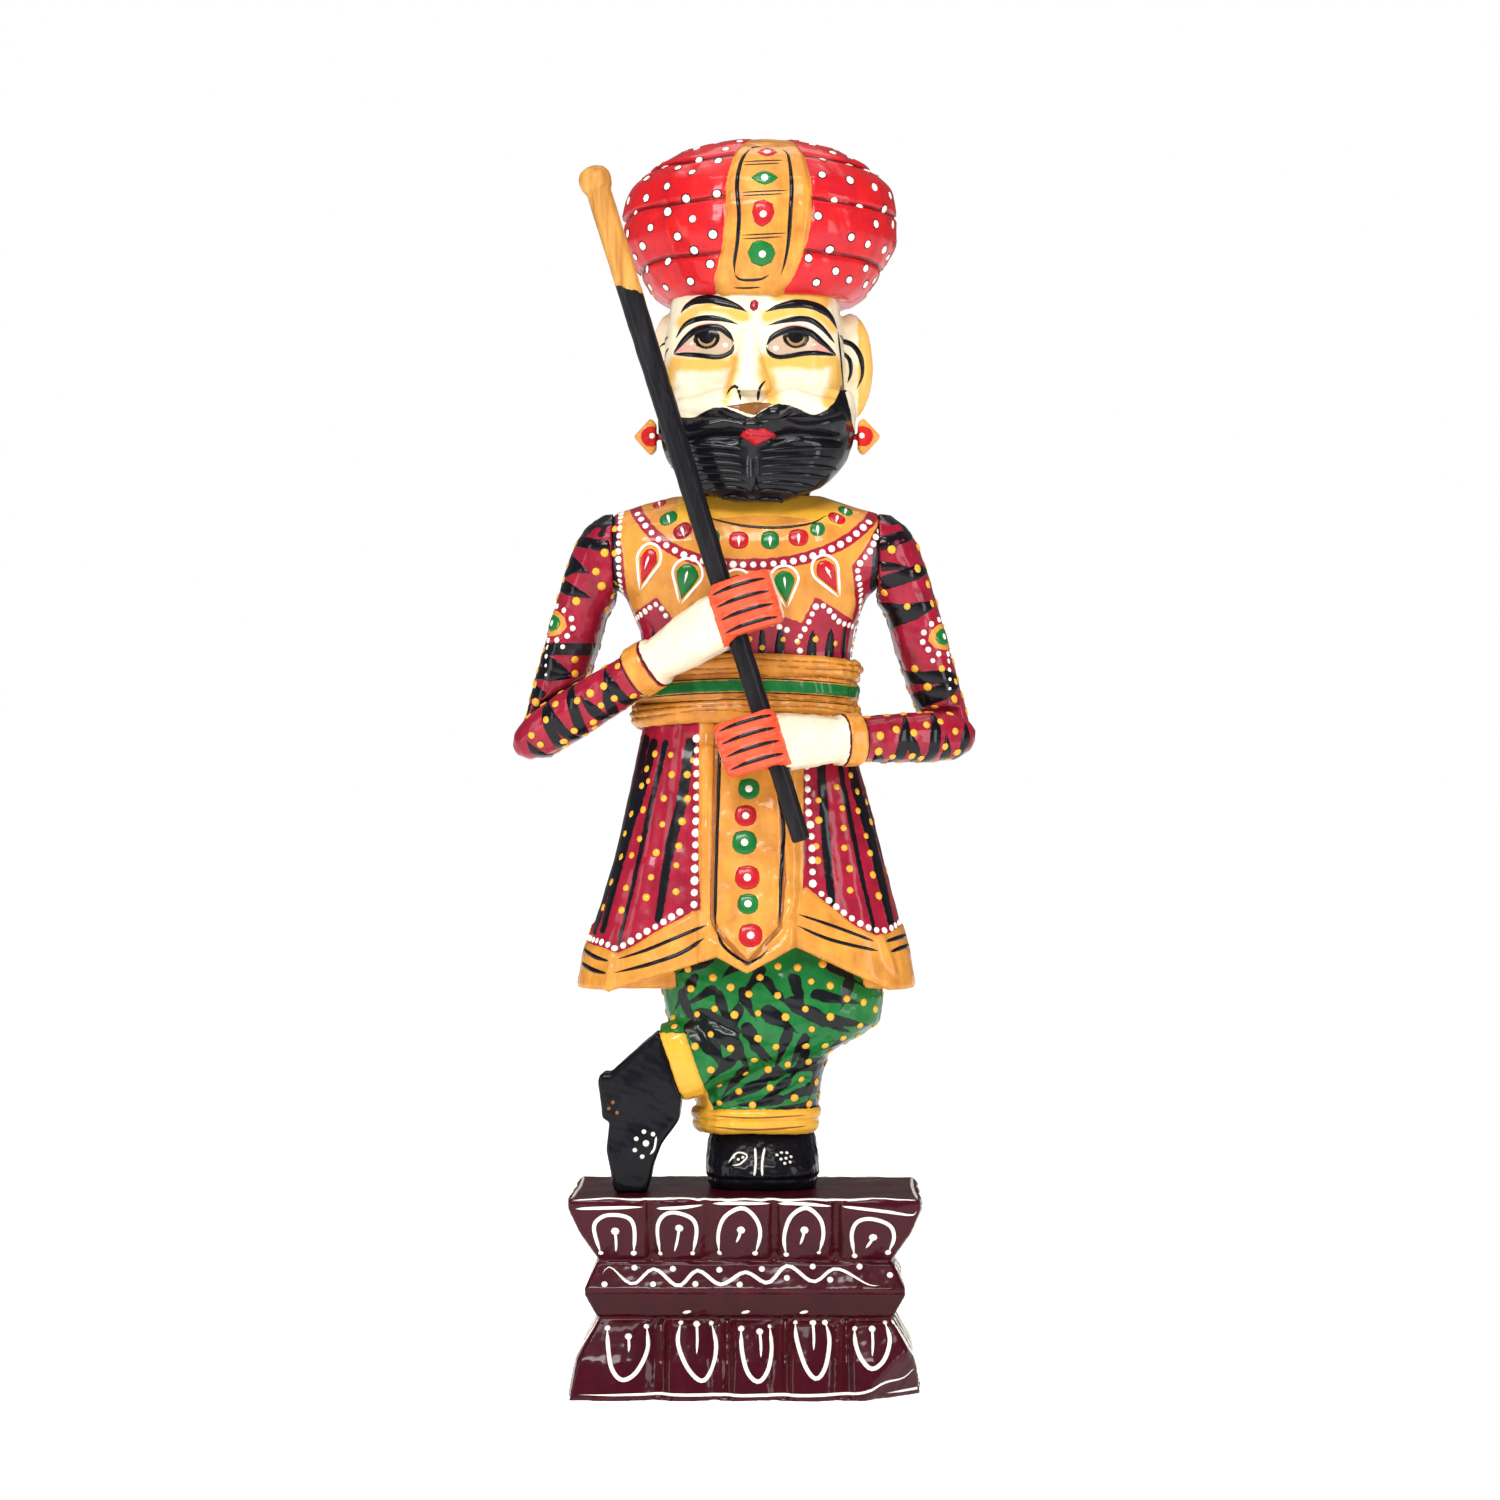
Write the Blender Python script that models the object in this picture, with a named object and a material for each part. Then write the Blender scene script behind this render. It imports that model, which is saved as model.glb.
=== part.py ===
"""A carved and painted Rajasthani guard figure on a lotus plinth, holding a staff in both fists.

The figure is built up from glued and dowelled blocks of wood. The staff is the one loose piece: it is a
tapered stick that drops into the bored fists and lifts out along its own length.

Metres, +Z up. The viewer looks along +Y, so the figure faces -Y and its right arm is on the -X side.
The origin is the middle of the plinth's underside.
"""

import math
from typing import NamedTuple

import bmesh
import bpy
from mathutils import Matrix, Vector

# Heights of the blocks, stacked from the floor
PLINTH_HEIGHT = 0.0965
SHOE_HEIGHT = 0.0275
LEG_HEIGHT = 0.098
HIP_HOUSING = 0.026  # how far the hips go up into the skirt
SKIRT_HEIGHT = 0.134
TORSO_HEIGHT = 0.1045
HEAD_HEIGHT = 0.0965
TURBAN_HEIGHT = 0.079

# Widths and depths of the blocks
PLINTH_WIDTH = 0.168
PLINTH_DEPTH = 0.100
SKIRT_HALF_WIDTH = 0.082
SKIRT_HALF_DEPTH = 0.046
HIP_HALF_WIDTH = 0.053
WAIST_HALF_WIDTH = 0.051
WAIST_FRONT = 0.0255
WAIST_BACK = 0.031
SHOULDER_HALF = 0.0643  # to the flat face that an arm is glued to
HEAD_HALF_WIDTH = 0.044
TURBAN_HALF_WIDTH = 0.0667

# The plinth's mouldings
LOWER_COURSE = 0.0365
RIDGE_BAND = 0.029
PLINTH_SLAB = 0.0055
NECK_INSET = 0.0135
RIDGE_INSET = 0.0065
PETAL_WIDTH = 0.029
PETAL_GROOVE = 0.0022
PETAL_BULGE = 0.0016

# The staff and the fists on it
STAFF_LENGTH = 0.3358
STAFF_LEAN = math.radians(17.34)  # its head leans towards the figure's right
STAFF_FOOT_RADIUS = 0.0045
STAFF_HEAD_RADIUS = 0.0061
KNOB_RADIUS = 0.0079
KNOB_LENGTH = 0.015
STAFF_FRONT = -0.056
STAFF_TAIL = 0.0486  # from the lower fist down to the staff's foot
LOWER_FIST_DROP = 0.0163  # below the waist
UPPER_FIST_RISE = 0.050  # above the waist
LOWER_FIST_X = 0.0126  # of the staff's axis
FIST_OFFSET = 0.0095  # from the staff's axis to the middle of a fist
FIST_HALF_LENGTH = 0.0132
FIST_HALF_WIDTH = 0.0158
FIST_HALF_DEPTH = 0.0150

# The arms
ELBOW_X = WAIST_HALF_WIDTH * 2  # so that the forearms clear the sash
RIGHT_ELBOW_DROP = 0.0135  # below the waist
LEFT_ELBOW_DROP = 0.0125
ELBOW_FRONT = -0.0155  # the middle of a forearm at its elbow
LAP_FACE = -0.0050  # the face between forearm and upper arm
FOREARM_HALF_HEIGHT = 0.0122
FOREARM_HALF_DEPTH = 0.0136
ARM_TOP_DROP = 0.0085  # from the neck joint down to the top of a shoulder

# The crossed leg
ANKLE_SLOPE = math.radians(18.9)
ANKLE_X = -HIP_HALF_WIDTH * 0.68
ANKLE_RISE = 0.0624  # above the plinth
ANKLE_HALF_HEIGHT = 0.0180
KNEE_X = HIP_HALF_WIDTH * 0.79
KNEE_RISE = 0.0920
SHIN_FRONT = -0.0150

# Joinery
JOINT_GAP = 0.0003  # the glue line between two blocks
DOWEL_RADIUS = 0.005
SHOULDER_DOWEL_RADIUS = 0.004
SMALL_DOWEL_RADIUS = 0.003
PEG_RADIUS = 0.0015
DOWEL_FIT = 0.0003
DOWEL_END_ROOM = 0.001
STAFF_FIT = 0.0001

# Levels that follow
SHOE_TOP = PLINTH_HEIGHT + SHOE_HEIGHT
HIP_TOP = SHOE_TOP + LEG_HEIGHT
HEM = HIP_TOP - HIP_HOUSING
WAIST = HEM + SKIRT_HEIGHT
NECK = WAIST + TORSO_HEIGHT
BROW = NECK + HEAD_HEIGHT
STAFF_AXIS = Vector((-math.sin(STAFF_LEAN), 0, math.cos(STAFF_LEAN)))
HEAD_X = 0.0045  # the head sits a little to the figure's left
TURBAN_X = 0.0067


class Level(NamedTuple):
    """One flat ring of a block: its height, and how far it reaches each way from the block's middle."""

    z: float
    left: float
    right: float
    front: float
    back: float
    power: float


MATERIALS = {
    # name: (colour, roughness)
    "maroon_enamel": ((0.075, 0.006, 0.010), 0.30),
    "black_enamel": ((0.006, 0.006, 0.008), 0.25),
    "green_enamel": ((0.010, 0.160, 0.035), 0.30),
    "crimson_enamel": ((0.330, 0.012, 0.030), 0.32),
    "ochre_enamel": ((0.640, 0.270, 0.035), 0.35),
    "cream_enamel": ((0.850, 0.740, 0.540), 0.30),
    "red_enamel": ((0.560, 0.012, 0.012), 0.28),
    "bare_wood": ((0.480, 0.300, 0.150), 0.70),
}


# Making objects


def clear_scene():
    for old in list(bpy.data.objects):
        bpy.data.objects.remove(old)


def make_materials():
    for name, (colour, roughness) in MATERIALS.items():
        made = bpy.data.materials.new(name)
        made.use_nodes = True
        shader = made.node_tree.nodes["Principled BSDF"]
        shader.inputs["Base Color"].default_value = (*colour, 1)
        shader.inputs["Roughness"].default_value = roughness
        shader.inputs["Metallic"].default_value = 0.0


def add_object(name, shape, material=None):
    """Links a bmesh to the scene. Without a material it is a hidden cutter or an operand."""
    bmesh.ops.recalc_face_normals(shape, faces=shape.faces)
    mesh = bpy.data.meshes.new(name)
    shape.to_mesh(mesh)
    shape.free()
    made = bpy.data.objects.new(name, mesh)
    bpy.context.scene.collection.objects.link(made)
    if material:
        mesh.materials.append(bpy.data.materials[material])
        mesh.shade_smooth()
        mesh.set_sharp_from_angle(angle=math.radians(35))
    else:
        made.hide_render = True
        made.display_type = "WIRE"
    return made


def combine(target, operand, operation):
    step = target.modifiers.new(operand.name, "BOOLEAN")
    step.operation = operation
    step.object = operand
    step.solver = "EXACT"


def loft(rings):
    """A closed bmesh through rings of points, which all have the same number of points."""
    shape = bmesh.new()
    loops = []
    for ring in rings:
        corners = [shape.verts.new(point) for point in ring]
        pairs = zip(corners, corners[1:] + corners[:1])
        loops.append([shape.edges.new(pair) for pair in pairs])
    for lower, upper in zip(loops, loops[1:]):
        bmesh.ops.bridge_loops(shape, edges=lower + upper)
    for end in (loops[0], loops[-1]):
        bmesh.ops.contextual_create(shape, geom=end)
    return shape


def superellipse(turn, power):
    """A point of a unit superellipse: power 2 is a circle, and a high power is nearly a square."""
    across, along = math.cos(turn), math.sin(turn)
    return (
        math.copysign(abs(across) ** (2 / power), across),
        math.copysign(abs(along) ** (2 / power), along),
    )


def turns(count):
    return [2 * math.pi * (step + 0.5) / count for step in range(count)]


def level_ring(level, count, grow=0.0, bow=0.0):
    """The points of a level's outline. grow widens it, and bow lifts its middle above its ends."""
    half_width = (level.left + level.right) / 2 + grow
    half_depth = (level.front + level.back) / 2 + grow
    middle = Vector(((level.right - level.left) / 2, (level.back - level.front) / 2, level.z))
    points = []
    for turn in turns(count):
        x, y = superellipse(turn, level.power)
        points.append(middle + Vector((x * half_width, y * half_depth, bow * (1 - x * x))))
    return points


def smooth_levels(levels, steps):
    """Levels on a smooth curve through the given ones, with this many steps between each two."""
    found = []
    for place in range(len(levels) - 1):
        before = levels[max(place - 1, 0)]
        start, end = levels[place], levels[place + 1]
        after = levels[min(place + 2, len(levels) - 1)]
        for step in range(steps):
            t = step / steps
            values = [
                b + t * 0.5 * (c - a + t * (2 * a - 5 * b + 4 * c - d + t * (3 * (b - c) + d - a)))
                for a, b, c, d in zip(before, start, end, after)
            ]
            found.append(Level(*values))
    return [*found, levels[-1]]


def block_levels(shape, base, height, half_width, half_depth, middle=(0.0, 0.0)):
    """A block's levels from a table of shares of its height, half width and half depth."""
    return [
        Level(
            base + share * height,
            left * half_width - middle[0],
            right * half_width + middle[0],
            front * half_depth - middle[1],
            back * half_depth + middle[1],
            power,
        )
        for share, left, right, front, back, power in shape
    ]


def limb_rings(stations, count):
    """Rings square to a limb's line. A station is (middle, half height, half depth, power)."""
    rings = []
    for place, (middle, half_height, half_depth, power) in enumerate(stations):
        ahead = stations[min(place + 1, len(stations) - 1)][0]
        behind = stations[max(place - 1, 0)][0]
        along = (ahead - behind).normalized()
        forward = (Vector((0, -1, 0)) + along * along.y).normalized()
        upward = along.cross(forward)
        rings.append(
            [
                middle + upward * y * half_height + forward * x * half_depth
                for x, y in (superellipse(turn, power) for turn in turns(count))
            ]
        )
    return rings


def plate(outline, front, back, bevel):
    """An outline in the XZ plane, carried from front to back, with bevelled edges."""
    shape = bmesh.new()
    corners = [shape.verts.new((x, front, z)) for x, z in outline]
    face = shape.faces.new(corners)
    carried = bmesh.ops.extrude_face_region(shape, geom=[face])
    moved = [item for item in carried["geom"] if isinstance(item, bmesh.types.BMVert)]
    bmesh.ops.translate(shape, verts=moved, vec=(0, back - front, 0))
    if bevel:
        bmesh.ops.bevel(
            shape,
            geom=shape.edges,
            offset=bevel,
            segments=2,
            profile=0.5,
            affect="EDGES",
            clamp_overlap=True,
            material=-1,
        )
    return shape


def rod(start, end, radius, chamfer=0.0, count=16):
    """A round rod from start to end, with chamfered ends."""
    start, end = Vector(start), Vector(end)
    along = (end - start).normalized()
    stations = [(0, radius - chamfer), (chamfer, radius)] if chamfer else [(0, radius)]
    length = (end - start).length
    profile = stations + [(length - place, r) for place, r in reversed(stations)]
    turned = along.to_track_quat("Z", "Y").to_matrix()
    rings = []
    for place, r in profile:
        centre = start + along * place
        rings.append(
            [centre + turned @ Vector((r * math.cos(t), r * math.sin(t), 0)) for t in turns(count)]
        )
    return loft(rings)


def drill(pieces, name, start, end, radius):
    """Cuts one round hole through every piece given."""
    cutter = add_object(name, rod(start, end, radius))
    for piece in pieces:
        combine(piece, cutter, "DIFFERENCE")


def dowel(name, pieces, start, end, radius):
    """A chamfered wooden dowel, and its glued hole in the pieces that it joins."""
    start, end = Vector(start), Vector(end)
    room = (end - start).normalized() * DOWEL_END_ROOM
    add_object(name, rod(start, end, radius, chamfer=radius / 5), "bare_wood")
    drill(pieces, name + "_hole", start - room, end + room, radius + DOWEL_FIT)


# The plinth and the legs


def plinth_ring(z, inset, petal):
    """The plinth's outline at one height: petals that bulge, with grooves between them."""
    half_width, half_depth = PLINTH_WIDTH / 2 - inset, PLINTH_DEPTH / 2 - inset
    inner = PETAL_WIDTH / 2
    front = [-half_width, -3 * inner, -inner, inner, 3 * inner, half_width]
    side = [-half_depth, -inner, inner, half_depth]
    corner_starts = (
        (front, Vector((0, -half_depth)), Vector((1, 0))),
        (side, Vector((half_width, 0)), Vector((0, 1))),
        (front, Vector((0, half_depth)), Vector((-1, 0))),
        (side, Vector((-half_width, 0)), Vector((0, -1))),
    )
    rise = ((0.0, -PETAL_GROOVE), (0.12, 0.0), (0.5, PETAL_BULGE), (0.88, 0.0))
    points = []
    for edges, middle, along in corner_starts:
        outward = Vector((along.y, -along.x))
        for number, (start, end) in enumerate(zip(edges, edges[1:])):
            for share, offset in rise:
                at_corner = number == 0 and share == 0
                out = 0 if at_corner else offset * petal
                flat = middle + along * (start + share * (end - start)) + outward * out
                points.append(Vector((flat.x, flat.y, z)))
    return points


def make_plinth():
    ridge = LOWER_COURSE + RIDGE_BAND / 2
    neck_top = LOWER_COURSE + RIDGE_BAND
    slab = PLINTH_HEIGHT - PLINTH_SLAB
    fillet = 0.002
    profile = (
        (0, 0, 1),
        (LOWER_COURSE / 2, NECK_INSET / 3, 1),
        (LOWER_COURSE - fillet, NECK_INSET - fillet / 2, 1),
        (LOWER_COURSE, NECK_INSET, 0),
        (ridge, RIDGE_INSET, 0),
        (neck_top, NECK_INSET, 0),
        (neck_top + fillet, NECK_INSET - fillet / 2, 1),
        ((neck_top + slab) / 2, NECK_INSET * 0.4, 1),
        (slab, 0, 1),
        (PLINTH_HEIGHT, 0, 0.6),
    )
    shape = loft([plinth_ring(*row) for row in profile])
    # The front corner on the figure's left is pared away at the floor.
    side, front = PLINTH_WIDTH / 2, -PLINTH_DEPTH / 2
    low = Vector((side - 0.027, front, 0))
    back = Vector((side, front + 0.024, 0))
    high = Vector((side - 0.010, front + 0.004, 0.024))
    cut = bmesh.ops.bisect_plane(
        shape,
        geom=[*shape.verts, *shape.edges, *shape.faces],
        plane_co=low,
        plane_no=(back - low).cross(high - low),
        clear_outer=True,
    )
    rim = [item for item in cut["geom_cut"] if isinstance(item, bmesh.types.BMEdge)]
    bmesh.ops.contextual_create(shape, geom=rim)
    return add_object("plinth", shape, "maroon_enamel")


def make_standing_shoe():
    base = PLINTH_HEIGHT + JOINT_GAP
    shape = (
        (0.00, 0.93, 0.97, 0.86, 1.00, 3.0),
        (0.25, 1.00, 1.03, 1.00, 1.06, 3.0),
        (0.60, 1.00, 1.02, 0.90, 1.04, 2.8),
        (1.00, 0.93, 0.93, 0.62, 0.94, 2.6),
    )
    levels = block_levels(shape, base, SHOE_HEIGHT - JOINT_GAP, 0.0272, 0.029, (0.0075, 0.0085))
    rings = [level_ring(level, 24) for level in smooth_levels(levels, 2)]
    return add_object("standing_shoe", loft(rings), "black_enamel")


def hip_levels():
    """The standing leg, its cuff, both thighs and the bent knee, from the shoe up to the skirt."""
    base = SHOE_TOP + JOINT_GAP
    shape = (
        (0.000, 0.62, 0.46, 0.50, 0.93, 2.6),
        (0.020, 0.66, 0.49, 0.56, 1.00, 2.6),
        (0.100, 0.68, 0.51, 0.58, 1.02, 2.6),
        (0.125, 0.64, 0.49, 0.52, 0.97, 2.6),
        (0.260, 0.68, 0.52, 0.62, 0.95, 2.6),
        (0.390, 0.76, 0.58, 0.80, 0.92, 2.6),
        (0.470, 0.84, 0.84, 0.95, 0.92, 2.6),
        (0.550, 0.90, 1.06, 1.00, 0.95, 2.6),
        (0.680, 0.95, 1.09, 1.00, 1.00, 2.6),
        (0.830, 1.00, 1.02, 0.93, 1.03, 2.8),
        (1.000, 1.00, 0.97, 0.83, 1.00, 2.8),
    )
    return block_levels(shape, base, LEG_HEIGHT - JOINT_GAP, HIP_HALF_WIDTH, 0.030, (0.0095, 0.0))


def ankle_frame():
    """The middle of the crossed ankle's glue face, the way out of it and the way up it."""
    middle = Vector((ANKLE_X, SHIN_FRONT, PLINTH_HEIGHT + ANKLE_RISE))
    outward = Vector((-math.cos(ANKLE_SLOPE), 0, -math.sin(ANKLE_SLOPE)))
    upward = Vector((-math.sin(ANKLE_SLOPE), 0, math.cos(ANKLE_SLOPE)))
    return middle, outward, upward


def make_legs():
    levels = hip_levels()
    rings = [level_ring(level, 28) for level in smooth_levels(levels, 1)]
    legs = add_object("crossed_legs", loft(rings), "green_enamel")
    ankle, outward, _ = ankle_frame()
    knee = Vector((KNEE_X, SHIN_FRONT, PLINTH_HEIGHT + KNEE_RISE))
    cuff = ankle - outward * 0.0105
    stations = [
        (knee, 0.0150, 0.0125, 2.4),
        (knee.lerp(cuff, 0.3), 0.0185, 0.0150, 2.4),
        (knee.lerp(cuff, 0.6), 0.0190, 0.0150, 2.4),
        (cuff + outward * -0.006, ANKLE_HALF_HEIGHT, 0.0138, 2.6),
        (cuff + outward * -0.0005, ANKLE_HALF_HEIGHT, 0.0138, 2.8),
        (cuff + outward * 0.001, ANKLE_HALF_HEIGHT + 0.0016, 0.0152, 2.8),
        (ankle - outward * 0.0010, ANKLE_HALF_HEIGHT + 0.0014, 0.0150, 2.8),
        (ankle, ANKLE_HALF_HEIGHT + 0.0004, 0.0140, 2.8),
    ]
    shin = add_object("shin", loft(limb_rings(stations, 20)))
    combine(legs, shin, "UNION")
    return legs


def make_crossed_shoe():
    """The shoe of the crossed leg, seen from its side: its sole and heel face out, its toe stands down."""
    ankle, outward, upward = ankle_frame()
    face = ankle + outward * JOINT_GAP
    top = face + upward * (ANKLE_HALF_HEIGHT - 0.0010)
    bottom = face - upward * (ANKLE_HALF_HEIGHT - 0.0014)
    floor = PLINTH_HEIGHT + JOINT_GAP
    heel = (top.x - 0.0295, top.z - 0.0205)
    outline = (
        (top.x, top.z),
        (top.x - 0.0100, top.z - 0.0085),
        (heel[0] + 0.0085, heel[1] + 0.0025),
        (heel[0] + 0.0060, heel[1] - 0.0005),
        (heel[0] + 0.0020, heel[1] + 0.0005),
        (heel[0], heel[1] - 0.0030),
        (heel[0] + 0.0020, heel[1] - 0.0225),
        (heel[0] + 0.0055, heel[1] - 0.0228),
        (ANKLE_X - 0.0312, floor + 0.0200),
        (ANKLE_X - 0.0275, floor),
        (ANKLE_X - 0.0115, floor),
        (ANKLE_X - 0.0080, floor + 0.0140),
        (ANKLE_X - 0.0040, floor + 0.0245),
        (bottom.x - 0.0010, floor + 0.0350),
        (bottom.x, bottom.z),
    )
    shape = plate(outline, SHIN_FRONT - 0.0125, SHIN_FRONT + 0.0125, 0.0022)
    return add_object("crossed_shoe", shape, "black_enamel")


# The coat, the sash and the chest


def waist_level(z):
    return Level(z, WAIST_HALF_WIDTH, WAIST_HALF_WIDTH, WAIST_FRONT, WAIST_BACK, 2.8)


SASH_DROP = 0.0085  # below the waist joint
SASH_HEIGHT = 0.0333
SASH_BOW = 0.0030


def make_skirt():
    shape = (
        (0.00, 1.00, 1.00, 0.98, 1.00, 3.2),
        (0.14, 0.96, 0.97, 0.91, 0.94, 3.2),
        (0.33, 0.87, 0.89, 0.83, 0.87, 3.1),
        (0.55, 0.77, 0.80, 0.74, 0.80, 3.0),
        (0.78, 0.69, 0.71, 0.65, 0.74, 2.9),
    )
    collar = WAIST - SASH_DROP - 0.002
    levels = block_levels(shape, HEM, collar - HEM, SKIRT_HALF_WIDTH, SKIRT_HALF_DEPTH)
    levels += [waist_level(collar), waist_level(WAIST)]
    skirt = add_object(
        "coat_skirt",
        loft([level_ring(level, 32) for level in levels]),
        "crimson_enamel",
    )
    # The front panel stands a little proud of the skirt.
    panel = (
        (0.00, 0.2770, 0.3010, 1.055, 0.2, 12),
        (0.33, 0.2770, 0.3010, 0.895, 0.2, 12),
        (0.94, 0.2770, 0.3010, 0.622, 0.2, 12),
    )
    panel_levels = block_levels(panel, HEM, collar - HEM, SKIRT_HALF_WIDTH, SKIRT_HALF_DEPTH)
    front_panel = add_object("front_panel", loft([level_ring(level, 24) for level in panel_levels]))
    combine(skirt, front_panel, "UNION")
    # The hips are housed in the skirt's underside.
    housing = [level._replace(z=level.z + JOINT_GAP) for level in hip_levels()[6:]]
    housing[0] = housing[0]._replace(z=HEM - 0.03)
    pocket = add_object(
        "hip_pocket", loft([level_ring(level, 28, JOINT_GAP * 1.5) for level in housing])
    )
    combine(skirt, pocket, "DIFFERENCE")
    # The front hem is cut in points: the two flaps' corners and the panel's tip hang lowest.
    zigzag = (
        (-1.10, -0.001),
        (-0.81, -0.001),
        (-0.165, 0.0164),
        (0.016, 0.0085),
        (0.295, 0.0213),
        (0.87, -0.001),
        (1.10, -0.001),
        (1.10, -0.010),
        (-1.10, -0.010),
    )
    outline = [(x * SKIRT_HALF_WIDTH, HEM + z) for x, z in zigzag]
    points = add_object("hem_points", plate(outline, -SKIRT_HALF_DEPTH * 1.4, -0.020, 0))
    combine(skirt, points, "DIFFERENCE")
    return skirt


def make_sash():
    """A wrapped sash that hides the waist joint: two rolled folds with a flat band between."""
    folds = (
        (0.00, 0.0030),
        (0.08, 0.0052),
        (0.22, 0.0060),
        (0.32, 0.0046),
        (0.37, 0.0030),
        (0.42, 0.0042),
        (0.62, 0.0042),
        (0.67, 0.0030),
        (0.73, 0.0052),
        (0.86, 0.0060),
        (0.95, 0.0050),
        (1.00, 0.0026),
    )
    base = WAIST - SASH_DROP
    outer = [
        level_ring(waist_level(base + share * SASH_HEIGHT), 32, grow, SASH_BOW)
        for share, grow in folds
    ]
    sash = add_object("sash", loft(outer), "ochre_enamel")
    reach = 0.01
    inner = [
        level_ring(waist_level(z), 32, JOINT_GAP)
        for z in (base - reach, base + SASH_HEIGHT + SASH_BOW + reach)
    ]
    combine(sash, add_object("sash_hole", loft(inner)), "DIFFERENCE")
    return sash


def make_torso():
    base = WAIST + JOINT_GAP
    sash_top = WAIST - SASH_DROP + SASH_HEIGHT + SASH_BOW + 0.001
    levels = [waist_level(base), waist_level(sash_top)]
    shape = (
        (0.37, 0.81, 0.82, 0.80, 0.97, 2.8),
        (0.53, 0.92, 0.92, 0.86, 1.00, 3.0),
        (0.65, 1.12, 1.12, 0.89, 1.00, 3.6),
        (0.78, 1.20, 1.20, 0.87, 0.99, 3.6),
        (0.86, 1.17, 1.17, 0.81, 0.95, 3.4),
        (0.92, 1.00, 1.00, 0.73, 0.89, 3.0),
        (0.967, 0.76, 0.76, 0.60, 0.80, 2.6),
        (1.00, 0.56, 0.60, 0.52, 0.71, 2.4),
    )
    levels += block_levels(shape, base, NECK - base, SHOULDER_HALF, 0.034)
    chest = loft([level_ring(level, 32) for level in levels])
    for side in (-1, 1):
        cut = bmesh.ops.bisect_plane(
            chest,
            geom=[*chest.verts, *chest.edges, *chest.faces],
            plane_co=(side * SHOULDER_HALF, 0, 0),
            plane_no=(side, 0, 0),
            clear_outer=True,
        )
        rim = [item for item in cut["geom_cut"] if isinstance(item, bmesh.types.BMEdge)]
        bmesh.ops.contextual_create(chest, geom=rim)
    return add_object("torso", chest, "crimson_enamel")


# The arms and the fists


def staff_foot():
    """The lower end of the staff's axis."""
    grip = Vector((LOWER_FIST_X, STAFF_FRONT, WAIST - LOWER_FIST_DROP))
    return grip - STAFF_AXIS * STAFF_TAIL


def staff_at(z):
    """The point of the staff's axis at a height."""
    foot = staff_foot()
    return foot + STAFF_AXIS * ((z - foot.z) / STAFF_AXIS.z)


def shaft_radius(height):
    """The tapered staff's radius at a distance from its foot."""
    share = height / (STAFF_LENGTH - KNOB_LENGTH)
    return STAFF_FOOT_RADIUS + share * (STAFF_HEAD_RADIUS - STAFF_FOOT_RADIUS)


def turned_rings(profile):
    """Round rings about the Z axis, one for each (height, radius) of a turned profile."""
    return [
        [Vector((radius * math.cos(turn), radius * math.sin(turn), z)) for turn in turns(20)]
        for z, radius in profile
    ]


def staff_placement():
    return Matrix.Translation(staff_foot()) @ Matrix.Rotation(-STAFF_LEAN, 4, "Y")


def fist_middle(side):
    """side is -1 for the figure's right arm, whose fist is the upper one."""
    z = WAIST + UPPER_FIST_RISE if side < 0 else WAIST - LOWER_FIST_DROP
    return staff_at(z) + Vector((-side * FIST_OFFSET, 0, 0))


def elbow(side):
    drop = RIGHT_ELBOW_DROP if side < 0 else LEFT_ELBOW_DROP
    return Vector((side * ELBOW_X, ELBOW_FRONT, WAIST - drop))


def make_forearm(name, side):
    """A forearm with its cuff, palm and fist in one piece, bored for the staff."""
    start, end = elbow(side), fist_middle(side)
    high, deep = FOREARM_HALF_HEIGHT, FOREARM_HALF_DEPTH
    rows = (
        # share of the way to the fist, half height, half depth
        (-0.095, 0.22 * high, 0.50 * deep),
        (-0.060, 0.62 * high, 0.80 * deep),
        (0.02, 0.92 * high, 0.98 * deep),
        (0.16, 1.00 * high, 1.00 * deep),
        (0.36, 0.94 * high, 0.98 * deep),
        (0.47, 0.88 * high, 0.94 * deep),
        (0.49, 1.02 * high, 1.00 * deep),
        (0.575, 1.02 * high, 1.00 * deep),
        (0.595, 0.86 * high, 0.90 * deep),
        (0.70, 1.04 * high, 0.94 * deep),
        (0.84, 1.14 * high, 1.02 * deep),
        (1.00, 1.00 * high, 0.92 * deep),
    )
    stations = []
    for share, half_height, half_depth in rows:
        middle = start.lerp(end, share)
        middle.y = start.y + (end.y - start.y) * max(share, 0) ** 0.78
        stations.append((middle, half_height, half_depth, 2.5))
    shape = loft(limb_rings(stations, 16))
    cut = bmesh.ops.bisect_plane(
        shape,
        geom=[*shape.verts, *shape.edges, *shape.faces],
        plane_co=(0, LAP_FACE - JOINT_GAP, 0),
        plane_no=(0, 1, 0),
        clear_outer=True,
    )
    rim = [item for item in cut["geom_cut"] if isinstance(item, bmesh.types.BMEdge)]
    bmesh.ops.contextual_create(shape, geom=rim)
    forearm = add_object(name, shape, "crimson_enamel")
    ends = ((-1.0, 0.86), (-0.82, 0.97), (0.0, 1.0), (0.82, 0.97), (1.0, 0.86))
    fist_stations = [
        (
            end + STAFF_AXIS * share * FIST_HALF_LENGTH,
            FIST_HALF_WIDTH * size,
            FIST_HALF_DEPTH * size,
            3.0,
        )
        for share, size in ends
    ]
    combine(forearm, add_object(name + "_fist", loft(limb_rings(fist_stations, 20))), "UNION")
    # The bore tapers with the staff, so that the staff wedges in it when it is fully down.
    grip = (staff_at(end.z) - staff_foot()).length
    reach = FIST_HALF_LENGTH + 0.015
    profile = [(z, shaft_radius(z) + STAFF_FIT) for z in (grip - reach, grip + reach)]
    bore = loft(turned_rings(profile))
    bmesh.ops.transform(bore, matrix=staff_placement(), verts=bore.verts)
    combine(forearm, add_object(name + "_bore", bore), "DIFFERENCE")
    return forearm


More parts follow.
